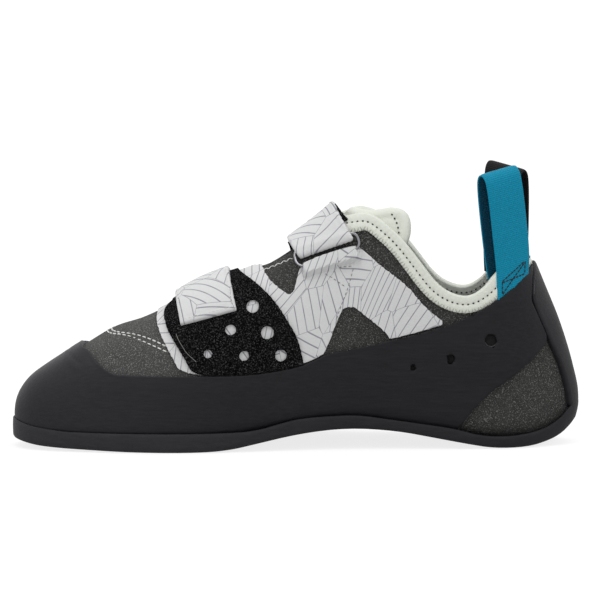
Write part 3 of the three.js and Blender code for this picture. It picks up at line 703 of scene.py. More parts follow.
def make_end(name, node, which, strap, ring, reach, folds):
    """Printed end of a strap, folded round its ring on the far side."""
    own = strap_depth(strap.band(-reach, 40), band_to(strap, ring, SLIT), which)

    def relief(points, flat, inner, values):
        """Round over the wire, and soft along the sewn edges."""
        other = inner == (which == OUTER)
        v = ((flat - ring.centre) @ ring.turn.T)[:, 1]
        over = np.where(other, 0.9 * np.exp(-((v - 3.5) / 2.6) ** 2), 0)
        return over - 0.22 * np.exp(-((values - 2.2) / 0.7) ** 2) + np.where(other, 0, creased(flat, folds))

    return sheet(name, node, "printed_strap", ["strap", "pile"], own, (END_IN, END_OUT), 1.2, 0.8, relief)


def make_ring(name, node, ring, which):
    """Wire ring: a rounded oblong on the skin, a closed curve with a round bevel, made a mesh."""
    wire_size = size("ring_wire")
    a, b = (RING_LONG - wire_size) / 2, (RING_BROAD - wire_size) / 2
    t = np.linspace(0, 2 * math.pi, 120, endpoint=False)
    r = b * RING_CORNER
    flat = np.stack([np.sign(wave(t)) * (reach - r) + r * wave(t)
                     for wave, reach in ((np.cos, a), (np.sin, b))], -1)
    s, turn = trace(ring.place(flat), which, RING_LEVEL)
    path = skin(s, turn, RING_LEVEL) * MM
    bpy.ops.object.select_all(action="DESELECT")
    bpy.ops.curve.primitive_bezier_circle_add(radius=0.01)
    wire = bpy.context.object
    wire.name = name
    data = wire.data
    data.splines.clear()
    spline = data.splines.new("POLY")
    spline.points.add(len(path) - 1)
    spline.points.foreach_set("co", np.hstack([path, np.ones((len(path), 1))]).ravel())
    spline.use_cyclic_u = True
    data.dimensions = "3D"
    data.bevel_depth = wire_size / 2 * MM
    data.bevel_resolution = 4
    bpy.ops.object.convert(target="MESH")
    wire = bpy.context.object
    wire.data.materials.clear()
    wire.data.materials.append(stuff("wire"))
    return finished(wire, node, 80)


def sole_edge(offset):
    """Plan line round the last at an offset, closed, toe to heel on the inner side and back, and the
    places and middles that it is drawn from."""
    stations = np.interp(np.linspace(0, MERIDIAN[-1], 260), MERIDIAN, FINE_S)
    x, inner, outer = section(stations)[:3]
    ring = np.vstack([np.stack([x, inner], -1), np.stack([x, outer], -1)[::-1][1:-1]])
    run = unit(np.roll(ring, -1, 0) - np.roll(ring, 1, 0))
    less = np.interp(ring[:, 0], (80, 108), (0, GAP))[:, None] if np.max(offset) > UPPER_OUT else 0
    return ring + np.stack([run[:, 1], -run[:, 0]], -1) * (offset - less), x, (inner + outer) / 2


def make_sole():
    """Outsole: rings from the middle of its underside over the bevel and the side to the lip, and inside."""
    base, x, middle = sole_edge(0)
    to_heel = np.interp(base[:, :1], (80, 118), (0, 1))

    def ring(offset, up, lift, width=1.0, drawn=0.0, least=-99):
        """A ring at an offset, so far up from the underside to the lip, narrowed and drawn in at the heel."""
        edge = sole_edge(offset - drawn * to_heel)[0]
        inwards = np.interp(edge[:, 0], x, middle)
        under, lip = (np.interp(edge[:, 0], line[:, 0], line[:, 1]) for line in (UNDER, LIP))
        z = np.maximum((1 - up) * under + up * lip + lift, under + least)
        return np.stack([edge[:, 0], inwards + (edge[:, 1] - inwards) * width - MIDDLE, z], -1)

    rings = [ring(SOLE_OUT - 1, 0, 0, width, 2.6) for width in (0.02, 0.3, 0.6, 0.85, 0.96, 1)]
    rings += [ring(SOLE_OUT - 0.45, 0, 0.25, 1, 1.9), ring(SOLE_OUT, 0, 1, 1, 1.2)]
    rings += [ring(SOLE_OUT + 0.12 * math.sin(k * 0.6), k / 5, 1 - k / 5 * 1.6, 1, 1.2 * (1 - k / 5) ** 2)
              for k in range(1, 6)]
    rings += [ring(SOLE_OUT - 0.25, 1, -0.15), ring(SOLE_OUT - 0.8, 1, 0), ring(UPPER_OUT + 1.2, 1, -0.1),
              ring(UPPER_OUT + 0.5, 1, -3, least=0.8), ring(0, 0, 1.5, 0.5)]
    obj = lofted("rubber_sole", np.array(rings), None, ["sole"])
    return finished(obj, "outsole")


def rim_of_collar(count):
    """Stations and turns along the collar's edge, round the back from the throat's inner to its outer
    front, and the rim's length."""
    level = PANEL_IN / 2

    def height(s, a):
        p = skin(s, a, level)
        return p[:, 2] - np.interp(p[:, 0], COLLAR[:, 0], COLLAR[:, 1])

    s = np.linspace(station(COLLAR[0][0]) + 0.02, ENDS, 1600)
    ahead = height(s, np.full_like(s, math.pi / 2)) < 0
    end = s[np.argmax(ahead)] if ahead.any() else ENDS
    s = s[0] + (end - s[0]) * np.sin(np.linspace(0, math.pi / 2, 500))
    paths = []
    for sign in (1, -1):
        low, high = np.zeros_like(s), np.full_like(s, math.pi / 2)
        for _ in range(30):
            mid = (low + high) / 2
            up = height(s, math.pi / 2 + sign * mid) > 0
            low, high = np.where(up, mid, low), np.where(up, high, mid)
        paths.append(np.stack([s, math.pi / 2 + sign * low], -1))
    line = np.vstack([paths[0], paths[1][::-1][1:]])
    run = arc(skin(line[:, 0], line[:, 1], level))
    return read_off(np.linspace(0, run[-1], count), run, line), run[-1]


def slide(params, direction, reach):
    """Stations and turns moved along the last by a length in a direction."""
    s, a = params.T
    h = 1e-3
    after, before = np.minimum(s + h, ENDS), np.maximum(s - h, 0)
    ds = (last_point(after, a) - last_point(before, a)) / (after - before)[:, None]
    da = (last_point(s, a + h) - last_point(s, a - h)) / (2 * h)
    move = np.linalg.pinv(np.stack([ds, da], -1)) @ (direction * reach)[..., None]
    return params + move[..., 0]


def collar_frame():
    """Path along the collar's edge, its length, and directions down from it along the upper."""
    if "collar" not in MADE:
        path, length = rim_of_collar(520)
        run = unit(np.gradient(skin(path[:, 0], path[:, 1], 1.2), axis=0))
        down = unit(np.cross(last_normal(path[:, 0], path[:, 1]), run))
        MADE["collar"] = path, length, down * np.where(down[:, 2:3] > 0, -1, 1)
    return MADE["collar"]


def make_binding():
    """Leather folded over the collar: a rolled section swept round its edge, puffed between the stitches."""
    path, length, down = collar_frame()
    outer, inner = 3.5, -1.5
    roll = [(-1.1 * math.cos(t) + 0.4, (outer + inner) / 2 + (outer - inner) / 2 * math.sin(t))
            for t in np.linspace(math.pi / 2, -math.pi / 2, 13)]
    # below the collar's edge, offset from the last
    line = [(7, PANEL_IN), (7.1, 3.0), (6.6, 3.35), (5.2, outer), (3.9, 3.4), (3.5, 3.2), (3.1, 3.4),
            (1.8, outer), *roll, (3, inner), (6, inner), (7, -0.9), (7, -GAP), (0.6, -GAP), (0.6, PANEL_IN)]
    along = np.linspace(0, length, len(path))
    puff = 0.07 * np.cos(along * 2 * math.pi / 2.4)
    scallop = 0.3 * np.abs(np.sin(along * math.pi / 1.6))
    rings = []
    for reach, offset in line:
        lower_edge = reach > 6 and offset > 2
        sewn = offset > 3.1 and 1 < reach < 6.4
        spot = slide(path, down, (reach + scallop * lower_edge)[:, None])
        rings.append(skin(spot[:, 0], spot[:, 1], offset + puff * sewn))
    rings = np.stack(rings, 1)
    n, m = rings.shape[:2]
    uv = np.stack([np.repeat(along, m), np.tile(np.arange(m) * 1.2, n)], -1)
    obj = lofted("collar_edge_binding", rings, uv, ["leather"])
    edited(obj, bpy.ops.mesh.normals_make_consistent, inside=False)
    return finished(obj, "collar_binding", 60)


def make_tongue():
    """Padded tongue: a flap each side of the ankle, joined in front, with a rolled rim and a sewn channel."""
    near, far = (rounded(side(TONGUE_FRONT + lobe + TONGUE_BACK), 2, closed=True)
                 for lobe in (INNER_LOBE, OUTER_LOBE))

    def depth(points, flat, inner):
        return np.where(inner, inside(flat, near), inside(flat, far))

    def relief(points, flat, inner, values):
        channel = -0.35 * np.exp(-((values - 5.2) / 1.0) ** 2)
        return channel + 0.35 * np.exp(-((values - 2.8) / 1.6) ** 2)

    return sheet("padded_tongue", "tongue", "tongue_leather", ["tongue"], depth, (TONGUE_IN, TONGUE_OUT),
                 2.5, 0.8, relief, (10, 19.5, 0, math.pi))


# A loop's bend: share of its breadth, share of its height
HAIRPIN = [
    (0, 0), (0, 0.35), (0.01, 0.7), (0.1, 0.91), (0.3, 0.985), (0.5, 1), (0.7, 0.985), (0.9, 0.91),
    (0.99, 0.7), (1, 0.35), (0.95, 0), (0.84, -0.24),
]


def loop_path(which, lean, sway):
    """Middle line of a loop from its foot under the rand over the hairpin, its length, its width
    direction and its outward one."""
    thick = size("web_thick")
    out = np.array([math.sin(LOOP_TURN), which * math.cos(LOOP_TURN), 0])
    across = unit(np.array([math.cos(LOOP_TURN), -which * math.sin(LOOP_TURN), lean]))
    levels = np.array([3.2, 3.3, BASE_IN + thick / 2])
    s, a = trace(side([(0.899, 0.66), (0.898, 0.74), (0.896, 0.83)]), which, levels)
    foot = skin(s, a, levels)
    height = LOOP_TOP - thick / 2 - foot[-1][2]
    points = np.array([*foot[:-1], *(
        foot[-1] - out * reach * (LOOP_GAP + thick) + np.array([-sway * rise * height, 0, rise * height])
        for reach, rise in HAIRPIN)])
    ends = np.vstack([2 * points[0] - points[1], points, 2 * points[-1] - points[-2]])
    line = smooth(ends, 1 + np.linspace(0, len(points) - 1 - 1e-9, 40 * len(points)))
    run = arc(line)
    return read_off(np.linspace(0, run[-1], 90), run, line), run[-1], across, out


def make_loop(name, node, which, lean, sway, materials):
    """Webbing bent to a hairpin: a flat woven section swept along it, its foot held on the skin; its inward
    face gets the second material, on the teal loop a darker teal as painted shade.
    """
    path, length, flat, out = loop_path(which, lean, sway)
    thick = unit(np.cross(unit(np.gradient(path, axis=0)), flat))
    width, half, deep = size("web_width"), size("web_width") / 2, size("web_thick") / 2
    columns = 24
    across = np.linspace(-1, 1, columns + 1)
    swell = deep * (1 - 0.35 * np.abs(across) ** 12)
    line = np.array([*zip(across * half, swell), (half + 0.3, 0), *zip(across[::-1] * half, -swell),
                     (-half - 0.3, 0)])
    arcs = np.linspace(0, length, len(path))
    taper = 0.13 * np.exp(-(arcs / 15) ** 2)[:, None, None]
    rings = path[:, None] + flat * (line[:, :1] * (1 - taper) - half * taper) + thick[:, None] * line[:, 1:]
    foot_level = 3.3
    for i, share in enumerate(np.clip(1.3 - arcs / 13, 0, 1)):
        if share == 0:
            break
        s, a = trace((rings[i] - thick[i] * line[:, 1:])[:, [0, 2]], which, foot_level)
        lift = np.abs(line[:, 1:]) * np.sign(line[:, 1:] * (thick[i] @ out))
        held = skin(s, a, foot_level) + last_normal(s, a) * lift
        rings[i] += share * share * (3 - 2 * share) * (held - rings[i])
    n, m = rings.shape[:2]
    uv = np.stack([np.tile(line[:, 0], n), np.repeat(arcs, m)], -1)
    obj = edited(lofted(name, rings, uv, materials), bpy.ops.mesh.normals_make_consistent, inside=False)
    first_out = thick[5] @ out > 0
    # Inward faces take the second material: painted shade on the teal loop, the same black on the black one.
    within = (np.arange(m) >= columns + 2) == first_out
    painted_shade_faces = np.concatenate([np.tile(within, n - 1), [False, False]])
    obj.data.polygons.foreach_set("material_index", painted_shade_faces.astype(np.int32))
    finished(obj, node, 60)
    outer = rings[:, :columns + 1] if first_out else rings[:, columns + 2:2 * columns + 3][:, ::-1]
    return outer, length, out


def colour(hexadecimal):
    """Linear colour from a screen one."""
    values = [int(hexadecimal[i:i + 2], 16) / 255 for i in (0, 2, 4)]
    return tuple(v / 12.92 if v <= 0.04045 else ((v + 0.055) / 1.055) ** 2.4 for v in values) + (1,)


class Net:
    """A node tree that is built in short calls."""

    def __init__(self, tree):
        self.tree = tree

    def feed(self, socket, value):
        """Links a socket, or sets its constant."""
        if isinstance(value, bpy.types.NodeSocket):
            self.tree.links.new(value, socket)
        else:
            socket.default_value = value

    def add(self, kind, inputs=(), **settings):
        """A new node with its settings and its inputs."""
        node = self.tree.nodes.new(kind)
        for name, value in settings.items():
            setattr(node, name, value)
        for name, value in dict(inputs).items():
            self.feed(node.inputs[name], value)
        return node

    def math(self, operation, a, b=0.0, c=0.0):
        """One sum of up to three values."""
        return self.add("ShaderNodeMath", {0: a, 1: b, 2: c}, operation=operation).outputs[0]

    def mix(self, factor, a, b, blend="MIX"):
        """Two colours mixed by a factor."""
        node = self.add("ShaderNodeMix", {0: factor, 6: a, 7: b}, data_type="RGBA", blend_type=blend)
        return node.outputs[2]

    def ramp(self, value, low, high):
        """Share of the way from low to high, clamped."""
        return self.add("ShaderNodeMapRange", {"Value": value, "From Min": low, "From Max": high}).outputs[0]

    def bump(self, height, distance, strength, **more):
        """Normals from a height."""
        inputs = {"Height": height, "Distance": distance, "Strength": strength, **more}
        return self.add("ShaderNodeBump", inputs).outputs[0]

    def place(self, name, **inputs):
        """One of the shared groups, with its own values."""
        if name not in MADE:
            MADE[name] = {"grain": grain_group, "patches": patch_group}[name]()
        return self.add("ShaderNodeGroup", inputs, node_tree=MADE[name]).outputs

    def spot(self):
        """Object coordinates."""
        return self.add("ShaderNodeTexCoord").outputs["Object"]


class Finish(Net):
    """A new material and its shader's sockets."""

    def __init__(self, name):
        self.made = bpy.data.materials.new(name)
        self.made.use_nodes = True
        super().__init__(self.made.node_tree)
        self.shader = next(n for n in self.tree.nodes if n.type == "BSDF_PRINCIPLED").inputs

    def surface(self, sockets):
        """Sets or links the shader's sockets and gives the material."""
        for label, value in sockets.items():
            self.feed(self.shader[label], value)
        return self.made


FLOAT, COLOUR, VECTOR = "NodeSocketFloat", "NodeSocketColor", "NodeSocketVector"


def group(name, inputs, outputs):
    """A new node group with named sockets: its net, its inputs and its output node's."""
    tree = bpy.data.node_groups.new(name, "ShaderNodeTree")
    for label, kind, value in inputs:
        socket = tree.interface.new_socket(label, in_out="INPUT", socket_type=kind)
        if value is not None:
            socket.default_value = value
    for label, kind in outputs:
        tree.interface.new_socket(label, in_out="OUTPUT", socket_type=kind)
    net = Net(tree)
    return net, net.add("NodeGroupInput").outputs, net.add("NodeGroupOutput").inputs


def grain_group():
    """Fine mottling and a bump from it, for nap, leather, rubber and yarn."""
    net, given, out = group("Fine grain", [
        ("Vector", VECTOR, None), ("Scale", FLOAT, 800), ("Contrast", FLOAT, 0.5), ("Height", FLOAT, 0.1),
        ("Colour", COLOUR, (0.5, 0.5, 0.5, 1)), ("Speckle", COLOUR, (0.6, 0.6, 0.6, 1)),
        ("Low", FLOAT, 0.3), ("High", FLOAT, 0.7),
    ], [("Colour", COLOUR), ("Value", FLOAT), ("Normal", VECTOR)])
    noise = net.add("ShaderNodeTexNoise", {"Vector": given["Vector"], "Scale": given["Scale"], "Detail": 5,
                                           "Roughness": 0.65}).outputs[0]
    value = net.ramp(noise, 0.3, 0.7)
    factor = net.math("MULTIPLY", net.ramp(noise, given["Low"], given["High"]), given["Contrast"])
    net.feed(out["Colour"], net.mix(factor, given["Colour"], given["Speckle"]))
    net.feed(out["Value"], value)
    net.feed(out["Normal"], net.bump(value, 0.0004, given["Height"]))
    return net.tree


def patch_group():
    """Large soft patches of wear, from 0 to 1."""
    net, given, out = group("Worn patches", [
        ("Vector", VECTOR, None), ("Scale", FLOAT, 30), ("Low", FLOAT, 0.45), ("High", FLOAT, 0.7),
    ], [("Mask", FLOAT)])
    noise = net.add("ShaderNodeTexNoise", {"Vector": given["Vector"], "Scale": given["Scale"], "Detail": 4,
                                           "Distortion": 0.4}).outputs[0]
    net.feed(out["Mask"], net.ramp(noise, given["Low"], given["High"]))
    return net.tree


def grained(name, base, speckle, scale, contrast, height, rough, worn=None, worn_scale=28, sharp=(0.3, 0.7),
            front=None, streak=1.0, **sockets):
    """A material of one stuff with grain, soft wear and its own gloss, and where asked a painted highlight
    that adds colour towards the toe, as if lit from above.
    """
    look = Finish(name)
    where = look.spot()
    drawn = where
    if streak != 1:
        drawn = look.add("ShaderNodeMapping", {"Vector": where, "Scale": (streak, 1, 1)}).outputs[0]
    grain = look.place("grain", Vector=drawn, Scale=scale, Contrast=contrast, Height=height,
                       Colour=base, Speckle=colour(speckle), Low=sharp[0], High=sharp[1])
    tint = grain["Colour"]
    mask = look.place("patches", Vector=where, Scale=worn_scale)["Mask"]
    if worn:
        tint = look.mix(look.math("MULTIPLY", mask, 0.35), tint, colour(worn))
    # Painted highlight: colour added more and more towards the toe, in place of the lamps' light on it.
    if front:
        painted_highlight_colour, back, tip = front
        forward = look.add("ShaderNodeSeparateXYZ", {0: where}).outputs[0]
        tint = look.mix(look.math("MULTIPLY", look.ramp(forward, back, tip), 0.5), tint, colour(painted_highlight_colour), "ADD")
    roughness = look.math("MULTIPLY_ADD", mask, 0.12, rough - 0.06)
    constants = {label.replace("_", " "): value for label, value in sockets.items()}
    return look.surface({"Base Color": tint, "Normal": grain["Normal"],
                         "Roughness": look.math("MULTIPLY_ADD", grain["Value"], 0.08, roughness), **constants})


def printed(name, base, shift):
    """Light sheet printed with facets, each hatched by thin straight lines in its own direction."""
    look = Finish(name)
    where = look.add("ShaderNodeUVMap", uv_map="UVMap").outputs[0]
    moved = look.add("ShaderNodeMapping", {"Vector": where, "Location": (shift, shift * 0.7, 0)}).outputs[0]
    cells, edges = (
        look.add("ShaderNodeTexVoronoi", {"Vector": moved, "Scale": 6.0, "Randomness": 0.85},
                 voronoi_dimensions="2D", feature=feature).outputs[output]
        for feature, output in (("F1", "Color"), ("DISTANCE_TO_EDGE", "Distance")))
    u, v = look.add("ShaderNodeSeparateXYZ", {0: moved}).outputs[:2]
    seed = look.add("ShaderNodeSeparateColor", {0: cells}).outputs
    turn = look.math("MULTIPLY", seed[0], math.pi)
    across = look.math("ADD", look.math("MULTIPLY", u, look.math("COSINE", turn)),
                       look.math("MULTIPLY", v, look.math("SINE", turn)))
    pitch = look.math("MULTIPLY_ADD", seed[1], 0.010, 0.015)
    ruled = look.ramp(look.math("PINGPONG", across, pitch), 0.0030, 0.0018)
    mark = look.math("MAXIMUM", ruled, look.ramp(edges, 0.0075, 0.0045))
    spot = look.spot()
    grain = look.place("grain", Vector=spot, Scale=1800, Contrast=0.5, Height=0.35, Colour=base,
                       Speckle=colour("c4c5c4"))
    faded = look.math("MULTIPLY_ADD", look.place("patches", Vector=spot, Scale=160)["Mask"], -0.25, 0.85)
    tint = look.mix(look.math("MULTIPLY", mark, faded), grain["Colour"], colour("74747e"))
    return look.surface({"Base Color": tint, "Normal": grain["Normal"], "Roughness": 0.65,
                         "Specular IOR Level": 0.3})


def webbing(name, base, dark):
    """Woven webbing: ribs across its width and a fine twill, from its own UV map, darker in the hollows
    between ribs as painted shade.
    """
    look = Finish(name)
    where = look.add("ShaderNodeUVMap", uv_map="UVMap").outputs[0]
    u, v = look.add("ShaderNodeSeparateXYZ", {0: where}).outputs[:2]
    ribs, warp = (look.math("SINE", look.math("MULTIPLY", way, 2 * math.pi * 100 / pitch))
                  for way, pitch in ((v, 0.9), (u, 0.8)))
    weave = look.ramp(look.math("MULTIPLY_ADD", ribs, 0.6, look.math("MULTIPLY", warp, 0.4)), -1, 1)
    grain = look.place("grain", Vector=look.spot(), Scale=1500, Contrast=0.5, Height=0.2, Colour=base,
                       Speckle=colour(dark))
    # Painted shade: the colour turns darker where the weave is low, in the hollows between ribs.
    low = look.math("MULTIPLY", look.math("SUBTRACT", 1, weave), 0.45)
    return look.surface({
        "Base Color": look.mix(low, grain["Colour"], colour(dark)),
        "Normal": look.bump(weave, 0.00025, 0.8, Normal=grain["Normal"]),
        "Roughness": 0.6, "Specular IOR Level": 0.15})


def stage_floor():
    """White floor that glows for the camera and hardly shades."""
    look = Finish("Pale floor")
    seen = look.add("ShaderNodeLightPath").outputs["Is Camera Ray"]
    return look.surface({
        "Base Color": (0.25, 0.25, 0.25, 1), "Roughness": 1.0, "Specular IOR Level": 0.0,
        "Emission Color": (1, 1, 1, 1), "Emission Strength": look.math("MULTIPLY_ADD", seen, 0.45, 0.35)})


# name, base, speckle, scale, contrast, height, roughness, and further values of grained; front is a painted
# highlight: its colour and the places along X where it starts and where it is full
GRAINS = {
    "suede": ("Grey suede", None, "a8a8a4", 1900, 0.75, 0.8, 0.95, dict(
        worn="4a4a48", worn_scale=45, sharp=(0.53, 0.7), front=("464646", -0.03, -0.06),
        Sheen_Weight=0.05, Specular_IOR_Level=0.05)),
    "rubber": ("Rand rubber", None, "2a2a2f", 900, 0.4, 0.16, 0.5, dict(
        worn="1c1c20", front=("202024", -0.03, -0.1), streak=0.1, Specular_IOR_Level=0.2)),
    "sole": ("Sole rubber", "161619", "303034", 700, 0.4, 0.2, 0.5, dict(
        worn="232327", front=("242428", 0.02, -0.06), streak=0.15, Specular_IOR_Level=0.22)),
    "leather": ("Pale leather", None, "c9cbc1", 700, 0.3, 0.35, 0.5, dict(worn="d3d5cc")),
    "tongue": ("Tongue leather", None, "cfd1c8", 700, 0.3, 0.35, 0.55, dict(worn="d6d8cf")),
    "pile": ("Loop pile", "080809", "6e6e70", 1700, 0.6, 1.0, 1.0, dict(
        worn="101011", worn_scale=120, sharp=(0.52, 0.66), Specular_IOR_Level=0.02)),
    # Painted shade: near-black for the shadowed insides of the rand's holes.
    "black_ground": ("Black ground", "050505", "0c0c0c", 900, 0.4, 0.2, 0.9, {}),
    "wire": ("Ring wire", "8e8e92", "78787c", 400, 0.3, 0.03, 0.2, dict(Metallic=1.0)),
    # Painted highlight: lighter grey for thin beads where light catches the rim of a rand hole and the heel
    # strip's edge.
    "edge": ("Rubber edge", "4c4c4f", "333336", 1500, 0.7, 0.2, 0.6, {}),
    "white_thread": ("White thread", "e4e4e0", "bcbcb8", 2500, 0.5, 0.4, 0.7, {}),
    # Painted shade: the overlock's white thread is painted grey, standing in for the shade between its zigzag
    # stitches.
    "pale_thread": ("Pale thread", "b6b9ae", "9a9d93", 2500, 0.5, 0.4, 0.7, {}),
    "grey_thread": ("Grey thread", "8a8b86", "6c6d69", 2500, 0.5, 0.4, 0.7, {}),
    "dark_thread": ("Dark thread", "0e0e0f", "262628", 2500, 0.5, 0.4, 0.8, {}),
    "insole": ("Insole board", "6f6a60", "807a6e", 900, 0.5, 0.4, 0.9, {}),
}
OTHERS = {
    "panel": lambda look: printed("Printed panel", (*look.sheet, 1), 3.1),
    "strap": lambda look: printed("Printed strap", (*look.sheet, 1), 7.7),
    "teal": lambda look: webbing("Teal webbing", (*look.teal, 1), "00607c"),
    # Painted shade: a darker teal for the teal loop's inward face.
    "deep_teal": lambda look: webbing("Deep teal webbing", colour("004c66"), "003347"),
    "black": lambda look: webbing("Black webbing", colour("1a1a1c"), "08080a"),
    "floor": lambda look: stage_floor(),
}


def stuff(label):
    """One of the shoe's materials, made once. A base colour that the table leaves out is the user's."""
    if label not in MADE:
        look = bpy.context.scene.shoe_finish
        if label in OTHERS:
            MADE[label] = OTHERS[label](look)
        else:
            name, base, *values, more = GRAINS[label]
            base = colour(base) if base else (*getattr(look, "leather" if label == "tongue" else label), 1)
            MADE[label] = grained(name, base, *values, **more)
    return MADE[label]


# Thread, and beads of painted highlight: pitch, half length and half width of a stitch
VAMP_THREAD, THROAT_THREAD, PANEL_THREAD = (2.8, 1.1, 0.4), (1.5, 1.1, 0.24), (2.3, 0.75, 0.2)
LOOSE_THREAD, STRAP_THREAD, LOOP_THREAD = (1.2, 0.8, 0.12), (1.9, 0.6, 0.17), (1.9, 0.85, 0.32)
HOLE_HIGHLIGHT, STRIP_HIGHLIGHT = (0.7, 0.5, 0.2), (0.9, 0.6, 0.14)
BINDING_DOTS, LINING_DOTS, LOBE_DOTS = (2.5, 0.5, 0.38), (2.4, 0.45, 0.36), (2.3, 0.5, 0.4)
OUTER_LOCK, INNER_LOCK = (1.5, 1.05, 0.3), (1.3, 1.0, 0.28)

# Lines of thread and of painted highlight in the side view, and on a loop's face: share across, millimetres
# along
VAMP_ROWS = [
    [(0.145, 0.54), (0.159, 0.517), (0.199, 0.513), (0.233, 0.495), (0.259, 0.469)],
    [(0.137, 0.53), (0.151, 0.508), (0.187, 0.509), (0.224, 0.48), (0.263, 0.443)],
]
THROAT_ROW = [(0.427, 0.775), (0.453, 0.798), (0.49, 0.838)]
PANEL_ROWS = [
    [(0.506, 0.786), (0.547, 0.791), (0.589, 0.721)],
    [(0.604, 0.805), (0.593, 0.708), (0.58, 0.632), (0.572, 0.574)],
    [(0.512, 0.79), (0.6, 0.812)],
]
LOOSE_ROW = [(0.281, 0.52), (0.284, 0.5), (0.293, 0.465), (0.3, 0.44), (0.316, 0.406)]
LOBE_ROW = [(0.672, 1.042), (0.68, 1.017), (0.685, 0.986), (0.687, 0.955)]
STRIP_HIGHLIGHT_ROW = [(0.9405, 0.8), (0.9365, 0.74), (0.935, 0.68)]
LOOP_BOX = [
    ((-0.72, 10), (0.72, 16.5)), ((-0.72, 10), (-0.72, 3.5)), ((0.72, 16.5), (0.72, 10)),
    ((-0.72, 4), (0.72, 16)), ((-0.72, 9.5), (0.72, 10.5)),
]


def bead(sides=6, rings=4):
    """Points and faces of one plump stitch along X, half a unit long each way."""
    points, faces = [(-1, 0, 0)], []
    for i in range(1, rings):
        angle = math.pi * i / rings
        radius = math.sin(angle) ** 0.6
        for j in range(sides):
            turn = 2 * math.pi * j / sides
            points.append((-math.cos(angle), radius * math.cos(turn), radius * math.sin(turn)))
    points.append((1, 0, 0))
    final = 1 + (rings - 2) * sides
    for j in range(sides):
        k = (j + 1) % sides
        faces.append((0, 1 + k, 1 + j))
        for a in range(1, final, sides):
            b = a + sides
            faces += [(a + j, a + k, b + k), (a + j, b + k, b + j)]
        faces.append((final + j, final + k, len(points) - 1))
    return np.array(points), np.array(faces)


BEAD = bead()


def stitched(name, label, rows):
    """One mesh of stitches. Each row gives centres, runs, outward directions, half length and half width."""
    shape, triangles = BEAD
    points, faces, count = [], [], 0
    for centres, runs, outs, long, wide in rows:
        runs, outs = unit(runs), unit(outs)
        sides = unit(np.cross(outs, runs))
        outs = np.cross(runs, sides)
        block = (centres[:, None] + runs[:, None] * shape[:, :1] * long
                 + sides[:, None] * shape[:, 1:2] * wide + outs[:, None] * shape[:, 2:] * wide)
        points.append(block.reshape(-1, 3))
        faces += [triangles + count + i * len(shape) for i in range(len(centres))]
        count += len(points[-1])
    obj = from_arrays(name, np.vstack(points), np.vstack(faces), None, [label])
    return finished(obj, None, 80)


def spaced(points, normals, thread, turn=0.0):
    """Stitches along a line of points. With a turn they lie across their run to each side, as a zigzag."""
    pitch, long, wide = thread
    run = arc(points)
    even = np.arange(pitch / 2, run[-1], pitch)
    tables = points, normals, np.gradient(points, axis=0)
    spots, outs, runs = (read_off(even, run, table) for table in tables)
    outs = unit(outs)
    runs = unit(runs - outs * (runs * outs).sum(1, keepdims=True))
    angle = turn * ((-1.0) ** np.arange(len(even)))[:, None]
    runs = np.cos(angle) * runs + np.sin(angle) * np.cross(outs, runs)
    return spots + outs * 0.05, runs, outs, long, wide


def side_row(flat, which, offset, thread, turn=0.0):
    """Stitches along a line of the side view on one side of the shoe, where that side shows it."""
    near, step = 0.4, 0.4
    run = arc(flat)
    dense = read_off(np.linspace(0, run[-1], max(int(run[-1] / step), 8)), run, flat)
    s, a = trace(dense, which, offset)
    found = np.linalg.norm(skin(s, a, offset)[:, [0, 2]] - dense, axis=1) < near
    s, a = s[found], a[found]
    return spaced(skin(s, a, offset), last_normal(s, a), thread, turn)


def collar_row(reach, offset, facing, thread, turn=0.0):
    """Stitches round the collar at a reach below its edge, on its outer or inner face."""
    path, length, down = collar_frame()
    s, a = slide(path, down, np.full((len(path), 1), reach)).T
    return spaced(skin(s, a, offset), facing * last_normal(s, a), thread, turn)


def face_row(face, length, out, ends):
    """Stitches along a straight line on a loop's outer face."""
    n, m = face.shape[:2]
    t = np.linspace(0, 1, 60)
    (u0, v0), (u1, v1) = ends
    col = (u0 + (u1 - u0) * t + 1) / 2 * (m - 1)
    row = (v0 + (v1 - v0) * t) / length * (n - 1)
    i, j = np.minimum(row.astype(int), n - 2), np.minimum(col.astype(int), m - 2)
    y, x = (row - i)[:, None], (col - j)[:, None]
    points = ((1 - y) * ((1 - x) * face[i, j] + x * face[i, j + 1])
              + y * ((1 - x) * face[i + 1, j] + x * face[i + 1, j + 1]))
    return spaced(points, np.broadcast_to(out, points.shape), LOOP_THREAD)


def sewn_line(rows):
    """A sewn line of the side view from shares, its corners cut smooth."""
    return rounded(side(rows), 2)


def strap_line(strap, reach):
    """The seam round the free end of a strap."""
    inset, top = 1.5, 8
    edge = size("strap_width") / 2 - inset
    return strap.place([(-edge, top), (-edge, inset - reach), (edge, inset - reach), (edge, top)])


def hole_highlight_line():
    """The lower rim of the rand's largest hole, where a painted highlight lies."""
    centre, radius = side([RAND_HOLES[2][:2]])[0], RAND_HOLES[2][2]
    turns = np.linspace(3.5, 5.9, 24)
    return centre + radius * np.stack([np.cos(turns), np.sin(turns)], -1)


def length_prop(name, description, default):
    """A length that a user may change, given in millimetres."""
    return bpy.props.FloatProperty(name=name, description=description, default=default * MM, unit="LENGTH")


def colour_prop(name, description, default):
    """A colour that a user may change, given as a screen colour."""
    return bpy.props.FloatVectorProperty(name=name, description=description, default=colour(default)[:3],
                                         subtype="COLOR", min=0, max=1)


class ShoeSizes(bpy.types.PropertyGroup):
    """Sizes that a user may change."""
    strap_width: length_prop("Strap width", "Width of both straps", 27)
    front_reach: length_prop("Front strap reach", "How far the front strap's end runs down its base", 15)
    rear_reach: length_prop("Rear strap reach", "How far the rear strap's end runs down its base", 27)
    ring_wire: length_prop("Ring wire", "Thickness of the rings' wire", 1.4)
    web_width: length_prop("Webbing width", "Width of the pull loops", 19)
    web_thick: length_prop("Webbing thickness", "Thickness of the pull loops", 1.4)


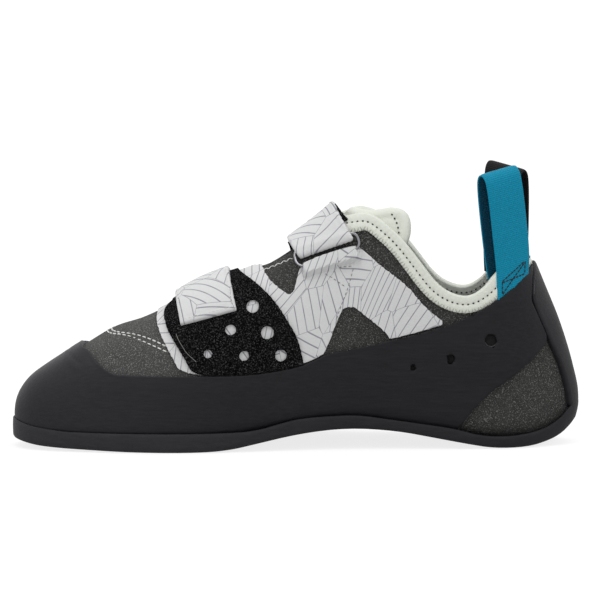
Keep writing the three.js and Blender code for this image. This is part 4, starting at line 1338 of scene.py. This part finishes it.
class ShoeFinish(bpy.types.PropertyGroup):
    """Colours that a user may change."""
    suede: colour_prop("Suede", "Ground colour of the suede", "363635")
    rubber: colour_prop("Rubber", "Ground colour of the rand", "111114")
    leather: colour_prop("Leather", "Ground colour of binding and tongue", "d9dcd1")
    sheet: colour_prop("Printed sheet", "Ground colour of panels and strap ends", "d2d2d3")
    teal: colour_prop("Pull loop", "Ground colour of the inner pull loop", "0096b8")


class ShoeStage(bpy.types.PropertyGroup):
    """Camera and light."""
    distance: length_prop("Distance", "From the camera to the shoe", 3000)
    elevation: bpy.props.FloatProperty(name="Elevation", description="Camera above the horizon",
                                       default=math.radians(6), subtype="ANGLE")
    width: length_prop("View width", "Width of the view at the shoe", 280.4)
    light: bpy.props.FloatProperty(name="Light", description="Strength of the soft light", default=1.0, min=0)


class SHOE_OT_upper(bpy.types.Operator):
    """Build the suede upper and finish the insole in it"""
    bl_idname = "shoe.upper"
    bl_label = "Upper"
    bl_options = {"REGISTER", "UNDO"}

    def execute(self, context):
        make_upper()
        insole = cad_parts["insole"].data.materials
        insole.clear()
        insole.append(stuff("insole"))
        return {"FINISHED"}


class SHOE_OT_rubber(bpy.types.Operator):
    """Build the sole, the rand and the heel strip"""
    bl_idname = "shoe.rubber"
    bl_label = "Sole, rand and heel strip"
    bl_options = {"REGISTER", "UNDO"}

    def execute(self, context):
        make_sole()
        make_rand()
        make_heel_strip()
        # Painted shade behind the rand's holes.
        make_hole_shade()
        return {"FINISHED"}


class SHOE_OT_binding(bpy.types.Operator):
    """Build the folded leather round the collar"""
    bl_idname = "shoe.binding"
    bl_label = "Collar binding"
    bl_options = {"REGISTER", "UNDO"}

    def execute(self, context):
        make_binding()
        return {"FINISHED"}


class SHOE_OT_tongue(bpy.types.Operator):
    """Build the padded tongue"""
    bl_idname = "shoe.tongue"
    bl_label = "Tongue"
    bl_options = {"REGISTER", "UNDO"}

    def execute(self, context):
        make_tongue()
        return {"FINISHED"}


class SHOE_OT_panels(bpy.types.Operator):
    """Build the printed side panels"""
    bl_idname = "shoe.panels"
    bl_label = "Side panels"
    bl_options = {"REGISTER", "UNDO"}

    def execute(self, context):
        make_panel("inner_side_panel", "panel_inner", INNER_PANEL, INNER, REAR_RING)
        make_panel("outer_side_panel", "panel_outer", OUTER_PANEL, OUTER, FRONT_RING)
        return {"FINISHED"}


class SHOE_OT_straps(bpy.types.Operator):
    """Build the loop-faced bases, the strap ends and the wire rings"""
    bl_idname = "shoe.straps"
    bl_label = "Straps and rings"
    bl_options = {"REGISTER", "UNDO"}

    def execute(self, context):
        for place, which, outline, strap, ring, holes, folds in (
            ("front", INNER, FRONT_BASE, FRONT_STRAP, FRONT_RING, BASE_HOLES, []),
            ("rear", OUTER, REAR_BASE, REAR_STRAP, REAR_RING, [], REAR_FOLDS),
        ):
            make_base(f"{place}_loop_base", f"strap_base_{place}", outline, which, strap, ring, holes)
            reach = size(f"{place}_reach")
            make_end(f"{place}_strap_end", f"strap_end_{place}", which, strap, ring, reach, folds)
            make_ring(f"{place}_wire_ring", f"ring_{place}", ring, -which)
        return {"FINISHED"}


class SHOE_OT_loops(bpy.types.Operator):
    """Build the two pull loops of webbing"""
    bl_idname = "shoe.loops"
    bl_label = "Pull loops"
    bl_options = {"REGISTER", "UNDO"}

    def execute(self, context):
        # The second material is painted shade on the loop's inward face.
        MADE["inner_face"] = make_loop("inner_pull_loop", "pull_loop_inner", INNER, 0.2, 0.11,
                                       ["teal", "deep_teal"])
        make_loop("outer_pull_loop", "pull_loop_outer", OUTER, -0.2, -0.01,
                  ["black", "black"])
        return {"FINISHED"}


class SHOE_OT_stitching(bpy.types.Operator):
    """Lay the rows of thread on upper, panels, straps, binding, tongue and loops, and painted highlights on
    the rubber's edges
    """
    bl_idname = "shoe.stitching"
    bl_label = "Stitching"
    bl_options = {"REGISTER", "UNDO"}

    def execute(self, context):
        zigzag, lock = 0.7, 1.2
        stitched("vamp_stitching", "white_thread",
                 [side_row(sewn_line(row), which, UPPER_OUT, VAMP_THREAD)
                  for row in VAMP_ROWS for which in BOTH]
                 + [side_row(sewn_line(THROAT_ROW), INNER, UPPER_OUT, THROAT_THREAD, zigzag)])
        stitched("panel_stitching", "grey_thread",
                 [side_row(sewn_line(row), INNER, PANEL_OUT, PANEL_THREAD) for row in PANEL_ROWS])
        stitched("thread_on_base", "grey_thread",
                 [side_row(sewn_line(LOOSE_ROW), INNER, BASE_OUT + 0.2, LOOSE_THREAD)])
        stitched("strap_stitching", "white_thread",
                 [side_row(strap_line(FRONT_STRAP, size("front_reach")), INNER, END_OUT, STRAP_THREAD),
                  side_row(strap_line(REAR_STRAP, size("rear_reach")), OUTER, END_OUT, STRAP_THREAD)])
        # Painted highlight: thin lighter beads on the lower rim of the largest rand hole and along the heel
        # strip's edge.
        stitched("rubber_edge_painted_highlights", "edge",
                 [side_row(hole_highlight_line(), which, RAND_OUT - 0.9, HOLE_HIGHLIGHT) for which in BOTH]
                 + [side_row(sewn_line(STRIP_HIGHLIGHT_ROW), which, STRIP_OUT - 0.15, STRIP_HIGHLIGHT) for which in BOTH])
        stitched("collar_stitching", "dark_thread",
                 [collar_row(3.4, 3.28, OUTER, BINDING_DOTS), collar_row(2.5, TONGUE_OUT, INNER, LINING_DOTS),
                  side_row(sewn_line(LOBE_ROW), INNER, TONGUE_OUT, LOBE_DOTS)])
        # Overlock thread painted grey as painted shade between the stitches.
        stitched("collar_overlock", "pale_thread",
                 [collar_row(6.5, 3.3, OUTER, OUTER_LOCK, lock),
                  collar_row(5.6, TONGUE_OUT, INNER, INNER_LOCK, lock)])
        stitched("loop_stitching", "dark_thread",
                 [face_row(*MADE["inner_face"], ends) for ends in LOOP_BOX])
        return {"FINISHED"}


class SHOE_OT_stage(bpy.types.Operator):
    """Set the floor, the soft lights and the camera"""
    bl_idname = "shoe.stage"
    bl_label = "Stage"
    bl_options = {"REGISTER", "UNDO"}

    def execute(self, context):
        scene = context.scene
        look = scene.shoe_stage
        bpy.ops.object.select_all(action="DESELECT")
        bpy.ops.mesh.primitive_plane_add(size=12, location=(0, 0, -0.0002))
        floor = context.object
        floor.name = "stage_floor"
        floor.data.materials.append(stuff("floor"))
        scene.world = scene.world or bpy.data.worlds.new("World")
        scene.world.use_nodes = True
        background = next(n for n in scene.world.node_tree.nodes if n.type == "BACKGROUND")
        background.inputs["Color"].default_value = (1, 1, 1, 1)
        background.inputs["Strength"].default_value = look.light
        shoe_middle = Vector((0, 0, 50)) * MM
        for name, spot, breadth, power in (
            ("key_light", (-0.5, -0.5, 1.6), 0.6, 4.5), ("top_light", (0.5, 0.2, 1.6), 0.8, 3.5),
        ):
            bpy.ops.object.light_add(type="AREA", location=spot)
            lamp = context.object
            lamp.name = name
            lamp.data.size = breadth
            lamp.data.energy = power * look.light
            lamp.rotation_euler = (shoe_middle - Vector(spot)).to_track_quat("-Z", "Y").to_euler()
        aim = Vector((1.57, 0, 66.13)) * MM
        back = Vector((0, -math.cos(look.elevation), math.sin(look.elevation)))
        bpy.ops.object.camera_add(location=aim + back * look.distance)
        camera = context.object
        camera.rotation_euler = (-back).to_track_quat("-Z", "Y").to_euler()
        camera.data.lens = camera.data.sensor_width * look.distance / look.width
        camera.data.clip_end = 100
        scene.camera = camera
        scene.view_settings.view_transform = "Standard"
        return {"FINISHED"}


OPERATORS = (SHOE_OT_upper, SHOE_OT_rubber, SHOE_OT_binding, SHOE_OT_tongue, SHOE_OT_panels, SHOE_OT_straps,
             SHOE_OT_loops, SHOE_OT_stitching, SHOE_OT_stage)
SETTINGS = {"shoe_sizes": ShoeSizes, "shoe_finish": ShoeFinish, "shoe_stage": ShoeStage}


class SHOE_PT_pieces(bpy.types.Panel):
    """Lists the shoe's settings and pieces"""
    bl_idname = "SHOE_PT_pieces"
    bl_label = "Climbing Shoe"
    bl_space_type = "VIEW_3D"
    bl_region_type = "UI"
    bl_category = "Shoe"

    def draw(self, context):
        for label in SETTINGS:
            settings = getattr(context.scene, label)
            for name in settings.bl_rna.properties.keys():
                if name not in ("rna_type", "name"):
                    self.layout.prop(settings, name)
        for kind in OPERATORS:
            self.layout.operator(kind.bl_idname)


CLASSES = (*SETTINGS.values(), *OPERATORS, SHOE_PT_pieces)


def register():
    for kind in CLASSES:
        bpy.utils.register_class(kind)
    for label, kind in SETTINGS.items():
        setattr(bpy.types.Scene, label, bpy.props.PointerProperty(type=kind))


def unregister():
    for label in SETTINGS:
        delattr(bpy.types.Scene, label)
    for kind in reversed(CLASSES):
        bpy.utils.unregister_class(kind)


def main():
    register()
    bpy.ops.shoe.upper()
    bpy.ops.shoe.rubber()
    bpy.ops.shoe.binding()
    bpy.ops.shoe.tongue()
    bpy.ops.shoe.panels()
    bpy.ops.shoe.straps()
    bpy.ops.shoe.loops()
    bpy.ops.shoe.stitching()
    bpy.ops.shoe.stage()


if __name__ == "__main__":
    main()
